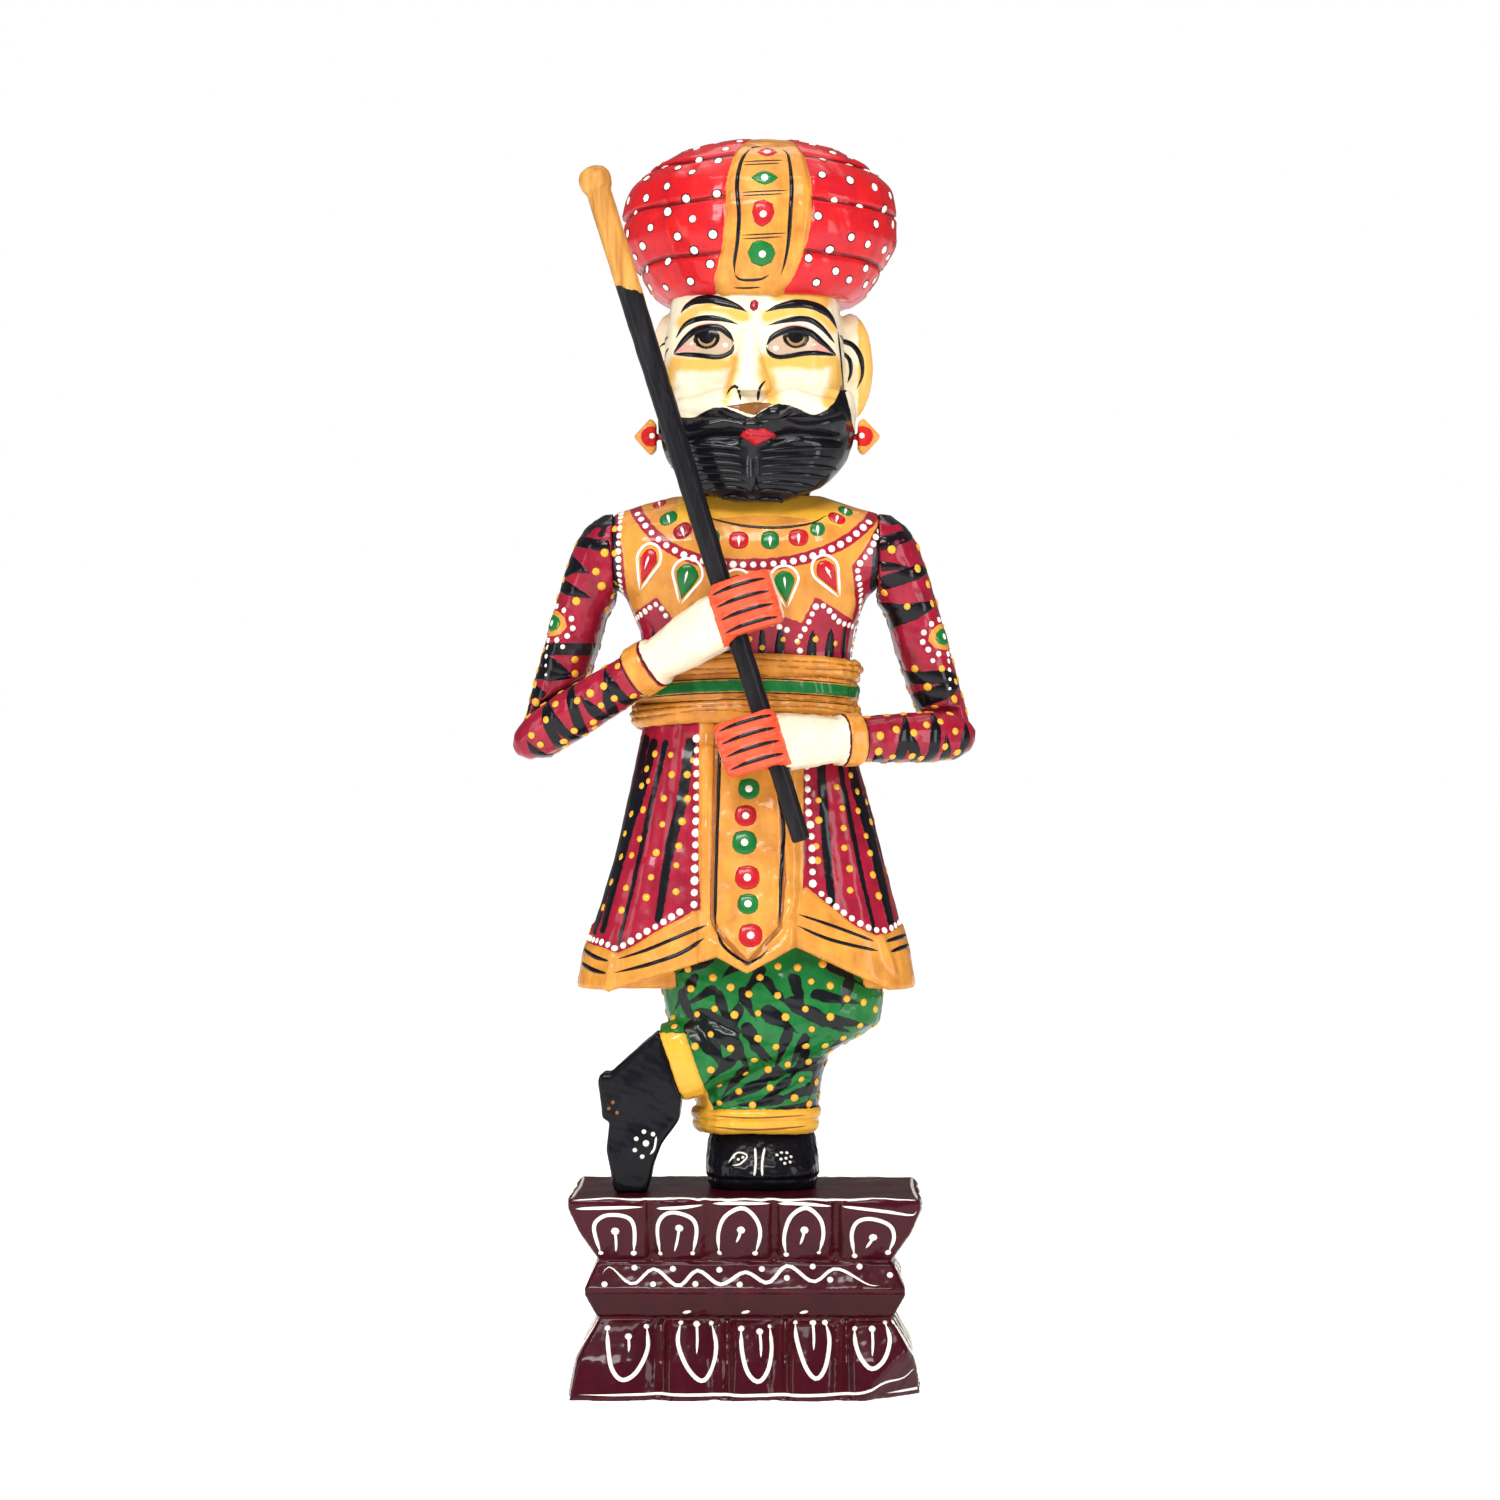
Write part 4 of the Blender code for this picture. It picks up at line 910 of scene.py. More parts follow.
def paint_chest(palette, view):
    neck = (
        (-19, -13), (-15.8, -15.8), (-1.3, -19.2), (12.5, -20.2), (23.1, -19.6), (33.1, -17.6), (39.9, -13.5),
    )
    palette.black.line(view, neck, 1.2, (0.4, 0.4))
    palette.white.row(view, RING[1:-1], 4.9, 1.75, jitter=0.12)
    gems = (
        ("green", (-37.2, -15.4), 8.6, 5.6, 30), ("crimson", (-30.3, -21.6), 9, 6.6, 35),
        ("red", (-42, -7.5), 6.5, 3.6, 25), ("green", (-16.5, -25), 8, 7.6, 0),
        ("red", (-3.1, -26.2), 9, 7.8, 0), ("green", (12, -26.2), 8.2, 8.2, 0),
        ("red", (25.7, -25), 9, 7.6, 0), ("green", (34.9, -20.9), 6.6, 6.2, 0),
        ("red", (44.2, -15.4), 8.2, 4.6, -25), ("green", (48.4, -11.5), 7, 3.9, -25),
    )
    for colour, place, width, height, lean in gems:
        width, height = width * 1.12, height * 1.15
        getattr(palette, colour).patch(view, placed(BLOB, place, width / 2, height / 2, lean), 0.45)
        tear = drop((place[0], place[1] - 0.2), 2.3, min(6, height * 0.8), lean / 2)
        palette.white.patch(view, tear, 0.85, 8, 4)
    petals = (
        ("red", (-47.4, -38), 11, 18, -17), ("green", (-28.5, -45.3), 14.5, 17.5, -14),
        ("red", (-4, -50), 14, 16, -3), ("green", (19, -47.9), 13.5, 15.5, 5),
        ("red", (39.9, -43), 12.5, 17, 28),
    )
    for colour, place, width, height, lean in petals:
        outline = drop(place, width + 1.6, height + 3, lean)
        palette.white.line(view, curve(outline + outline[:1], 3), 1.2, straight=True, rise=0.45)
        getattr(palette, colour).patch(view, drop(place, width - 1.6, height - 1.5, lean), 0.45)
        tear = drop((place[0], place[1] + 1.5), 1.8, height * 0.42, lean)
        palette.white.patch(view, tear, 0.8, 8, 4)
    for route in (
        ((-57.6, -66), (-50, -61), (-42.8, -57), (-38.6, -62.5)),
        ((-30, -66.5), (-24.2, -60), (-17, -68)),
        ((-3, -66), (3.3, -60.6), (12, -66), (20, -69.5)),
        ((26.5, -72.5), (31, -65), (34.2, -58), (39, -58.5), (45, -65), (52, -67)),
        ((-60.4, -10), (-61, -20), (-61.6, -33.4), (-60.6, -50.2), (-58.5, -60), (-55, -72), (-52, -86)),
        ((65.4, -17), (60.8, -30.5), (54.4, -39.5), (56, -52), (54.6, -66), (51, -84)),
        ((25, -75), (27.6, -84)),
    ):
        palette.white.row(view, route, 3.9, 1.6, jitter=0.15)
    for x, width in (
        (-44, 3.4), (-36, 4.2), (-27, 3.6), (-18, 4.2), (-9, 3.4), (0, 4.2), (8, 3.4), (16.5, 4.4), (32, 4.6),
        (40.7, 4.6), (47.4, 3.6),
    ):
        route = ((x * 1.02, -68 + random.uniform(-2, 2)), (x, -80), (x * 0.97, -96))
        palette.black.line(view, route, width, (0.4, 1))
    for step in range(26):
        x = -48 + (step % 13) * 8.2 + random.uniform(-1.5, 1.5)
        spot = view.at(x, -72 - (step // 13) * 12 - random.uniform(0, 7))
        palette.yellow.dot(spot, random.uniform(1.5, 1.9))
    for side in (-1, 1):
        for rise in (-10, -21, -33, -45):
            palette.yellow.dot(view.at(side * 64.5 + 1, rise + random.uniform(-2, 2)), 1.8)
    palette.done()


# The arms

SHOULDER_X = 0.076
ELBOW_X = 0.102
ELBOW_Y = -0.016
FIST_Y = -0.056
STAFF_LEAN = math.atan2(0.298, 0.9545)  # the staff leans to the figure's right
SLEEVE_RADIUS = 15


def sleeve(palette, view, start, end, step, seed, widths=(4.6, 6.4), clear=-99):
    """Black wedges round a sleeve, with yellow dots between them, and a place that is left clear."""
    numbers = random.Random(seed)
    place = start
    number = 0
    while place < end:
        for half in (0, 180):
            slant = numbers.uniform(2.5, 6.5) * (1 if number % 2 else -0.6)
            first = half - 95 + numbers.uniform(-25, 25)
            reach = numbers.uniform(90, 165)
            width = numbers.uniform(*widths)
            shift = numbers.uniform(-2.0, 2.0)
            if abs(place + shift - clear) < 11 and half == 0:
                reach = 30
            route = [
                (first, place - slant + shift),
                (first + reach * 0.5, place + numbers.uniform(-1.2, 1.2) + shift),
                (first + reach, place + slant + shift),
            ]
            palette.black.line(view, route, width, (1.0, 0.12), 0.22)
        for turn in range(-165, 195, 45):
            at = turn + numbers.uniform(-14, 14)
            spot = view.at(at, place + step / 2 + numbers.uniform(-2, 2))
            if abs(place + step / 2 - clear) > 9 or abs(turn) > 75:
                palette.yellow.dot(lifted(spot, 0.1), numbers.uniform(1.8, 2.3), 0.6)
        place += step * numbers.uniform(0.85, 1.15)
        number += 1


def make_arms():
    for end, side in (("right", -1), ("left", 1)):
        upper = Block("upper_arm_" + end, 0.9, 4)
        upper.push(upper.uneven((0.25, 15, 50 + side), (0.12, 5, 53)))
        low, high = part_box("upper_arm_" + end)
        shoulder = Vector((side * SHOULDER_X, 0.006, high[2] - 0.006))
        elbow = Vector((side * ELBOW_X, 0.008, low[2] + 0.008))
        fall = high[2] / MM - upper.z
        patch = 8 - fall + side * 0.3 * (upper.x - side * 76) + 5 * lumps(upper.places, 9, 58)
        upper.field("patch", patch if side > 0 else np.maximum(patch + 3, 3 - np.abs(fall - 66)))
        black = (("patch", BLACK, WORN_BLACK),)
        finish = enamel("sleeve_enamel_" + end, CRIMSON, DEEP_CRIMSON, black, mottle=0.8)
        upper.settle("crimson_enamel", finish)
        palette = Palette(upper, "upper_arm_" + end)
        view = Wrapping(upper, shoulder, elbow, (1, 0, 0))
        flower_at = 50 if side < 0 else 57
        sleeve(palette, view, 6, 101, 9.2, 60 + side, (5.4, 8.6), flower_at)
        medallion(palette, view, (side * 22, flower_at), side)
        palette.done()
        make_forearm(end, side)


def medallion(palette, view, middle, side):
    """A flower of rings on the sleeve, with drops that trail below it."""
    turn, place = middle
    round_scale = 57.3 / SLEEVE_RADIUS  # degrees for a millimetre round the arm

    def ring(radius, count):
        return [
            (turn + radius * round_scale * math.cos(a), place + radius * math.sin(a))
            for a in (2 * math.pi * step / count for step in range(count))
        ]

    palette.crimson.patch(view, ring(9.6, 16), 0.45, rings=8)
    palette.gold.patch(view, ring(7.4, 16), 0.65)
    palette.green.patch(view, ring(4.8, 16), 0.90)
    palette.white.dot(lifted(view.at(turn, place), 0.8), 1.7)
    for at in ring(8.6, 12):
        palette.white.dot(lifted(view.at(*at), 0.35), 1.55, 0.7)
    for number in range(4):
        spot = view.at(turn - side * 4 * number, place + 12 + 4.4 * number)
        palette.white.dot(spot, 1.5 - 0.2 * number)
    for number in (-1, 1):
        palette.white.dot(view.at(turn + number * 26, place + 10), 1.3)


def make_forearm(end, side):
    block = Block("forearm_" + end, 0.8, 3)
    low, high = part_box("forearm_" + end)
    if side < 0:
        elbow_z, fist_x, fist_z = low[2] + 0.0115, 0.0005, high[2] - 0.018
    else:
        elbow_z, fist_x, fist_z = WAIST - 0.0125, 0.0031, WAIST - 0.0163
    elbow = Vector((side * ELBOW_X, ELBOW_Y, elbow_z))
    fist = Vector((fist_x, FIST_Y, fist_z))
    line = fist - elbow
    length = line.length / MM
    axis = np.array(line.normalized())
    share = (block.places - np.array(elbow) / MM) @ axis / length
    cosine, sine = math.cos(STAFF_LEAN), math.sin(STAFF_LEAN)
    away = block.places - np.array(fist) / MM
    up_fist = away @ (-sine, 0, cosine)
    across_fist = away @ (cosine, 0, sine)
    fingers = np.minimum(15.6 - np.abs(across_fist), 15.5 - np.abs(up_fist))
    fingers = np.where(share > 0.80, fingers, -5)
    cuff = 4.4 - np.abs(share - 0.535) * length
    palm = (share - 0.585) * length
    knuckles = sum(groove(up_fist - line_at, 0.8) for line_at in (-6.6, 0, 6.6))
    uneven = block.uneven((0.2, 12, 71), (0.15, 5, 72))
    block.push(uneven - np.where(fingers > 0.5, 0.9 * knuckles, 0) + np.clip(cuff, 0, 1) * 0.5)
    block.field("palm", palm)
    block.field("cuff", cuff)
    block.field("fingers", fingers)
    finish = enamel(
        "hand_enamel_" + end,
        CRIMSON,
        DEEP_CRIMSON,
        (
            ("palm", CREAM, (0.66, 0.54, 0.36)),
            ("cuff", GOLD, DEEP_GOLD),
            ("fingers", ORANGE, (0.60, 0.045, 0.02)),
        ),
        mottle=0.7,
    )
    block.settle("crimson_enamel", finish)
    palette = Palette(block, "forearm_" + end)
    view = Wrapping(block, elbow, fist, (0, 0, 1))
    sleeve(palette, view, 1, length * 0.47, 8.6, 80 + side)
    for place in (0.492, 0.578):
        for half in (0, 180):
            route = [(half + turn, length * place) for turn in (-95, -40, 0, 40, 95)]
            palette.black.line(view, route, 0.6)
    front = Facing(block, fist.z)
    for height in (-9.6, -3.2, 3.2, 9.4):
        route = []
        for across in (-13.5, -5, 5, 13.5):
            lift = height + 0.9 * math.cos(across / 8)
            route.append((fist.x / MM + across * cosine - lift * sine, across * sine + lift * cosine))
        palette.black.line(front, route, 1.7, (0.3, 0.6), 0.35)
    palette.done()


# The sash


def bow(x):
    """How much higher the sash's windings are at the middle than at its sides."""
    return 3.0 * (1 - np.clip(x / 56, -1, 1) ** 2)


def make_sash():
    block = Block("sash", 0.9, 3)
    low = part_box("sash")[0][2]
    x = block.x
    level = block.z - low / MM - bow(x)
    torn = np.clip((np.abs(x) - 46) / 8, 0, 1)
    outer = np.hypot(x / 56, (block.y - 3) / 34) > 0.93
    wrinkles = sum(
        groove(level - height - 1.2 * lumps(block.places, 50, 90 + number), 0.7)
        for number, height in enumerate((4.5, 8.2, 11.6, 22.6, 26.3, 30.0))
    )
    amount = -0.8 * wrinkles + 0.35 * lumps(block.places, 9, 95) + torn * 0.9 * lumps(block.places, 6, 96)
    block.push(np.where(outer, amount, 0))
    block.field("green", 2.7 - np.abs(level - 17.2))
    # Painted shade: this field darkens the gold in the carved wrinkles between the sash's windings.
    block.field("crease", 1.6 * np.clip(wrinkles, 0, 1) - 1.15)
    finish = enamel(
        "sash_enamel",
        GOLD,
        DEEP_GOLD,
        (("crease", DEEP_GOLD, (0.24, 0.07, 0.012)), ("green", GREEN, DEEP_GREEN)),
        mottle=0.7,
    )
    block.settle("ochre_enamel", finish)
    palette = Palette(block, "sash")
    for azimuth in (0, 180):
        view = Facing(block, low, azimuth)
        for height, width in ((13.9, 0.55), (20.6, 0.55), (10.4, 0.4)):
            route = [(at, height + bow(at)) for at in range(-52, 53, 13)]
            palette.black.line(view, route, width, (0.5, 0.5))
    palette.done()


# The skirt of the coat

PANEL = (
    (-22.3, 160), (-22.3, 60), (-20.5, 24), (-12, 19), (1.2, 8), (17, 20), (27.5, 40), (28.1, 60),
    (28.1, 160),
)
HEM_TOP = (
    (-95, 18), (-76.6, 18.5), (-69, 17), (-61.6, 14.5), (-54, 18), (-46, 23), (-31, 31.5), (-24, 35),
    (30, 46), (41, 37), (53, 27.5), (63, 23), (69, 23.5), (80, 30), (95, 31),
)
STRIPES = (
    (((-26.5, 116), (-31.3, 85), (-36.2, 65.4), (-41.7, 31)), 4.0),
    (((-38.7, 116), (-42.3, 99.7), (-47.2, 78.9), (-53.4, 50.7), (-61, 19)), 2.2),
    (((-44.8, 116), (-49.7, 96), (-58.3, 67.9), (-69, 25)), 3.6),
    (((-49, 118), (-54.5, 93), (-66, 51), (-74, 24)), 3.2),
    (((36, 112), (37, 97), (39.1, 65.4), (41.6, 39)), 3.6),
    (((45, 114), (46.5, 99.7), (50.8, 77.7), (55.7, 53.2), (62.4, 25)), 2.2),
    (((51, 114), (53.2, 97), (61.8, 65.4), (70.4, 28)), 3.6),
    (((54.5, 114), (56.9, 99.7), (65.5, 67.9), (76, 32)), 3.0),
)


def make_skirt():
    block = Block("coat_skirt", 1.05, 3)
    x, y = block.x, block.y
    rise = block.z - PANEL_FOOT / MM
    front = y < -6
    panel = np.where(front, distance_inside(x, rise, PANEL), -20)
    upper = np.interp(x, [point[0] for point in HEM_TOP], [point[1] for point in HEM_TOP])
    back_upper = 24 + 4 * np.cos(x / 12)
    hem_band = np.where(front, upper, back_upper) - rise
    spread = 1 + rise / 134 * 0.45
    pleats = np.sin(x * spread / 15 * 2 * math.pi + 0.6)
    on_pleats = np.clip(-np.maximum(panel, hem_band) / 2, 0, 1)
    middle = np.where(front & (np.abs(x - 2) < 30), 1.0, 0.0)
    inner = ((-14, 130), (-15.5, 32), (-13.5, 26), (1.2, 10), (16.7, 27), (18.5, 50), (16, 130))
    rims = groove(distance_to_route(x, rise, inner) - 0.4, 0.9) * middle
    outer_rim = groove(panel - 3.4, 2.0) * middle
    ridges = sum(
        groove(distance_to_route(x, rise, route), 1.4)
        for route in (((-63.8, 16), (-65.8, -2)), ((64.9, 23), (71.6, 4)))
    )
    block.push(
        on_pleats * 0.35 * pleats
        + np.where(panel > 0, outer_rim - rims * 1.2, 0)
        + np.where(panel > 0, 0.5, np.clip(hem_band, 0, 1))
        + np.where(front, ridges, 0) * 1.1
        + block.uneven((0.20, 16, 101), (0.05, 5, 102))
    )
    outside = np.abs(block.normals[:, 2]) < 0.8
    block.field("gold", np.where(outside, np.maximum(panel, hem_band), 2))
    # Painted shade: this field darkens the gold to brown inside the carved grooves of the panel's rims.
    block.field("sunk", rims * 2.2 - 1.0)
    taper = 0.62 - 0.2 * np.clip((70 - rise) / 50, 0, 1)
    stripes = [width * taper - distance_to_route(x, rise, curve(route, 4)) for route, width in STRIPES]
    block.field("stripe", np.where(front, np.max(stripes, axis=0), -9))
    finish = enamel(
        "coat_skirt_enamel",
        CRIMSON,
        DEEP_CRIMSON,
        (("stripe", BLACK, BLACK), ("gold", GOLD, DEEP_GOLD), ("sunk", DEEP_GOLD, BROWN)),
        mottle=0.65,
    )
    block.settle("crimson_enamel", finish)
    paint_skirt_front(Palette(block, "skirt_front"), Facing(block, PANEL_FOOT))
    paint_skirt_back(Palette(block, "skirt_back"), Facing(block, HEM, 180))


def paint_skirt_front(palette, view):
    black, white, yellow = palette.black, palette.white, palette.yellow
    for top, foot, count in (
        ((-25.5, 112), (-35, 38), 7), ((-34, 116), (-49, 32), 7), ((-43, 112), (-62, 26), 7),
        ((-47.5, 108), (-71, 28), 7), ((34, 92), (36, 50), 4), ((42, 110), (53, 36), 7),
        ((51, 104), (66, 34), 7), ((56, 100), (73, 38), 6),
    ):
        for step in range(count):
            share = (step + 0.3 + random.uniform(-0.22, 0.22)) / count
            across = top[0] + (foot[0] - top[0]) * share + random.uniform(-1.2, 1.2)
            yellow.dot(view.at(across, top[1] + (foot[1] - top[1]) * share), random.uniform(1.6, 2.1))
    for route, spacing, radius in (
        (((-23.6, 118), (-23.6, 80), (-24.4, 38)), 6.0, 2.1),
        (((-31.3, 34.4), (-41.4, 28.4), (-49.9, 23.5), (-61.6, 17), (-68.1, 19.2), (-78, 21)), 4.6, 1.75),
        (((29.6, 116), (30.2, 86), (31.8, 72), (32.6, 48)), 5.6, 2.0),
        (((36.7, 43.1), (45.3, 35.8), (53.2, 30.1), (63, 25.6), (70, 26), (79, 31.5)), 4.6, 1.75),
    ):
        white.row(view, route, spacing, radius, 0.75, 0.12)
    black.lines(view, (
        (((-12.1, 120), (-13.3, 75), (-14.2, 32.4), (-13.4, 25)), 1.7, (1, 0.8)),
        (((-13.6, 26), (-10.5, 18.9), (-5, 14), (1.2, 10.6), (6.5, 12.6), (11.6, 16.8)), 1.5, (0.8, 0.5)),
        (((15.3, 112), (15.8, 93.6), (18.6, 75.2), (17.2, 50.7), (16.7, 27.4)), 2.1, (0.7, 0.5)),
        (((-18, 28.5), (-33.8, 21.9), (-48, 16), (-62, 11.5)), 1.56, (1.0, 0.3)),
        (((-19, 22.5), (-30.1, 15.2), (-46, 9.5), (-63.2, 5.1)), 1.82, (1.0, 0.3)),
        (((-79, 15.4), (-72, 12.2), (-65.4, 10.6)), 1.95, (0.8, 0.4)),
        (((-79.7, 8.7), (-73, 6), (-66.4, 4.8)), 2.08, (0.8, 0.4)),
        (((25, 33.6), (43.4, 27.4), (62.4, 20.1)), 1.43, (0.4, 0.8)),
        (((25, 28.1), (41, 21.3), (64.3, 15.6)), 1.56, (0.4, 0.8)),
        (((67.6, 20), (74, 21.6), (80.2, 22.5)), 1.95, (0.5, 0.9)),
        (((70, 15), (75, 16.6), (80.2, 17.6)), 1.95, (0.5, 0.9)),
    ))
    for colour, across, up, size in (
        ("red", 2.2, 107.5, 12), ("green", 1.8, 93.6, 11.4), ("red", 0.3, 80.7, 11.6),
        ("green", -0.2, 67.9, 13), ("red", 1.2, 51.1, 13), ("green", 1.5, 38.5, 11), ("red", 2.8, 23.5, 12.6),
    ):
        blob = placed(BLOB, (across, up), size * 0.47, size * 0.46)
        getattr(palette, colour).patch(view, blob, 0.5)
        palette.white.dot(lifted(view.at(across, up), 0.4), 2.0, 0.5)
    palette.done()


def paint_pleats(palette, view, pleats):
    """Black stripes down the pleats at the back, and a line of yellow dots beside each."""
    top, foot, dots = 124, 28, 11
    for top_x, foot_x in pleats:
        middle = ((top_x * 1.05 + foot_x * 0.95) / 2, (top + foot) / 2)
        width = random.uniform(2.8, 4.4)
        palette.black.line(view, ((top_x, top), middle, (foot_x, foot + 4)), width, (0.7, 0.25))
    outermost = tuple(at + math.copysign(more, at) for at, more in zip(pleats[-1], (8, 10)))
    for here, beside in zip(pleats, (*pleats[1:], outermost)):
        top_x, foot_x = ((a + b) / 2 for a, b in zip(here, beside))
        for step in range(dots):
            share = (step + 0.4 + random.uniform(-0.15, 0.15)) / dots
            spot = view.at(top_x + (foot_x - top_x) * share, top + (foot + 6 - top) * share)
            palette.yellow.dot(spot, random.uniform(1.3, 1.7))


def paint_skirt_back(palette, view):
    pleats = ((3, 4.5), (12, 18), (21, 31), (30, 44), (39, 57), (47, 70))
    for side in (-1, 1):
        paint_pleats(palette, view, [(side * top_x, side * foot_x) for top_x, foot_x in pleats])
    edge = [(at, 26.5 + 4 * math.cos(at / 12)) for at in range(-78, 79, 6)]
    palette.white.row(view, edge, 4.3, 1.5, jitter=0.15)
    for drawn in (6, 10):
        palette.black.line(view, [(at, drawn) for at in range(-76, 77, 19)], 0.8, (0.4, 0.4))
    palette.done()


# The legs and the shoes


FLAMES = (
    ((-26, 74), (-36, 59), 3.4), ((-18, 70), (-31, 62), 3.0), ((-18.5, 57), (0, 50), 6.4),
    ((-24, 50), (-11, 34), 5.4), ((-18, 49), (-7, 31), 4.6), ((-7, 49), (2.3, 31), 5.2),
    ((2.3, 50), (11, 34), 4.6), ((5, 44), (14, 35.5), 3.6), ((12.6, 59), (26, 50), 5.6),
    ((20, 49), (14, 31), 4.4), ((24.4, 63.5), (39, 52), 4.6), ((33, 59), (52, 49), 4.6),
    ((37.7, 68), (58, 63.5), 4.0), ((43.5, 56), (61, 53), 3.8), ((-0.7, 68), (5.2, 56), 3.8),
    ((-4.4, 59), (-12.5, 44), 4.2), ((11, 74), (22, 62), 3.4), ((42, 82), (58, 72), 3.6),
    ((-20, 84), (-34, 78), 3.6), ((-2, 84), (-12, 76), 3.4), ((46, 44), (37, 38), 3.4),
    ((34.7, 34), (14, 29.6), 4.6), ((14, 29.6), (-1, 22.2), 4.2), ((5, 23.7), (-22.8, 10.5), 3.6),
    ((33, 22.2), (14, 16.3), 4.2), ((14, 16.3), (-6.5, 13.4), 3.2), ((32, 13.4), (2.3, 10.5), 3.4),
    ((35, 30), (30, 14), 3.4), ((-6.5, 37), (-20, 25), 3.6), ((28, 38), (20, 24), 3.4),
    ((-30, 66), (-24, 50), 3.6), ((-12, 66), (-6, 50), 3.8), ((6, 78), (-4, 64), 3.6),
    ((24, 74), (30, 58), 3.8), ((50, 74), (46, 60), 3.6), ((-14, 52), (-4, 38), 3.8),
    ((28, 46), (22, 34), 3.2), ((18, 24), (4, 12), 3.2), ((-2, 30), (-12, 18), 3.4),
)


def wedges(across, height, strokes):
    """How far inside the strokes each place is. A stroke is full at its start and ends in a point."""
    deepest = np.full(across.shape, -9.0)
    for start, end, width in strokes:
        run = np.subtract(end, start)
        share = ((across - start[0]) * run[0] + (height - start[1]) * run[1]) / (run @ run)
        share = np.clip(share, -0.15, 1)
        away = np.hypot(across - start[0] - share * run[0], height - start[1] - share * run[1])
        deepest = np.maximum(deepest, width * (0.78 - 0.74 * np.abs(share)) - away)
    return deepest


def make_legs():
    block = Block("crossed_legs", 0.95, 3)
    rise = block.z - SHOE_TOP / MM
    ankle = np.array((-36.0, -15.0, PLINTH_TOP / MM + 62.4))
    outward = np.array((-0.946, 0, -0.324))
    along_shin = (block.places - ankle) @ outward
    near_shin = (block.y < 2) & (block.x < 0) & (rise < 50)
    shin_cuff = np.where(near_shin, along_shin + 11.4, -9)
    cuff = np.maximum(12.0 - rise, shin_cuff)
    crease = groove(np.abs(rise - 6), 1.0) * (rise < 13)
    folds = sum(
        groove(distance_to_route(block.x, rise, curve(route, 4)), 1.8)
        for route in (
            ((36, 34), (18, 26), (0, 23), (-16, 12)), ((30, 26), (14, 18), (-4, 15)),
            ((34, 47), (18, 36), (2, 29)), ((-22, 52), (-10, 40), (8, 34)), ((-24, 62), (-8, 52), (12, 46)),
        )
    ) * (block.y < 0)
    block.push(
        np.clip(cuff, 0, 1) * 0.6
        - crease * 0.9
        - 0.9 * folds
        + block.uneven((0.4, 17, 111), (0.15, 5, 112))
    )
    block.field("cuff", cuff)
    flame = wedges(block.x + 0.8 * lumps(block.places, 9, 113), rise, FLAMES)
    unrolled = np.arctan2(block.x - 6, block.y - 4) * 31
    behind = []
    for number in range(34):
        start = (random.uniform(-72, 72), 16 + number * 2.0)
        end = (start[0] + random.uniform(-9, 9), start[1] - 17)
        behind.append((start, end, random.uniform(3.4, 5.2)))
    tongue = np.where(block.y < 4, flame, wedges(unrolled, rise, behind))
    block.field("tongue", tongue)
    fields = (("tongue", BLACK, (0.002, 0.010, 0.004)), ("cuff", YELLOW, GOLD))
    finish = enamel("trouser_enamel", GREEN, DEEP_GREEN, fields, mottle=0.6)
    block.settle("green_enamel", finish)
    palette = Palette(block, "legs")
    view = Facing(block, SHOE_TOP)
    dotted = (cuff < -2) & (block.z < HEM / MM + 12)
    for spot in scatter(block, 9.4, dotted, 12):
        palette.yellow.dot(lifted(spot, 0.2), random.uniform(1.7, 2.2), 0.6)
    palette.brown.line(view, ((-17, 3.6), (4, 2.4), (30, 3.8)), 0.9, (0.4, 0.4))
    palette.brown.line(view, ((-17, 9.0), (4, 8.2), (30, 9.2)), 0.7, (0.4, 0.4))
    palette.done()


def make_shoes():
    standing = Block("standing_shoe", 0.8, 3)
    rise = standing.z - PLINTH_TOP / MM
    standing.push(
        -0.7 * groove(rise - 5.5, 1.0)
        + standing.uneven((0.4, 9, 121), (0.2, 4, 122))
    )
    shine = enamel("shoe_enamel", BLACK, (0.009, 0.008, 0.013), coat=0.16, speckle=1.2, gleam=0.06)
    standing.settle("black_enamel", shine)
    palette = Palette(standing, "standing_shoe")
    view = Facing(standing, PLINTH_TOP)
    palette.white.line(view, ((4.5, 21.3), (4.9, 14), (4.1, 6.9)), 1.1)
    palette.white.line(view, ((9.3, 21.3), (8.0, 14), (8.2, 6.9)), 1.1)
    palette.white.line(view, ((-8.7, 13.2), (-4.3, 18.4), (0.8, 17.2), (-2.8, 13.2), (-7, 12.6)), 0.8)
    for place in (
        (-6, 16.4), (-3.6, 15.4), (-1.4, 16.4), (15.2, 17.6), (17.4, 18.6), (20, 18.4), (22, 16.6),
        (19.6, 16), (17.2, 15.6), (21.6, 14.2), (19, 13.6),
    ):
        palette.white.dot(view.at(*place), 0.85)
    palette.done()

    crossed = Block("crossed_shoe", 0.8, 3)
    crossed.push(crossed.uneven((0.25, 16, 123), (0.05, 4, 124)))
    crossed.settle("black_enamel", shine)
    palette = Palette(crossed, "crossed_shoe")
    view = Facing(crossed, PLINTH_TOP)
    palette.white.dot(view.at(-48, 24.2), 1.7)
    for place in ((-49, 29.8), (-44.6, 28.6), (-52.7, 26.4), (-53.4, 20.9), (-49.8, 17.7)):
        palette.white.dot(view.at(*place), 1.2)
    palette.white.line(view, ((-43, 27.9), (-44, 21.5), (-46.4, 18.6)), 1.0)
    for place in ((-64, 44), (-66, 41), (-67, 35), (-62, 39)):
        palette.brown.dot(view.at(*place), 1.0, 0.2)
    palette.done()


# The plinth

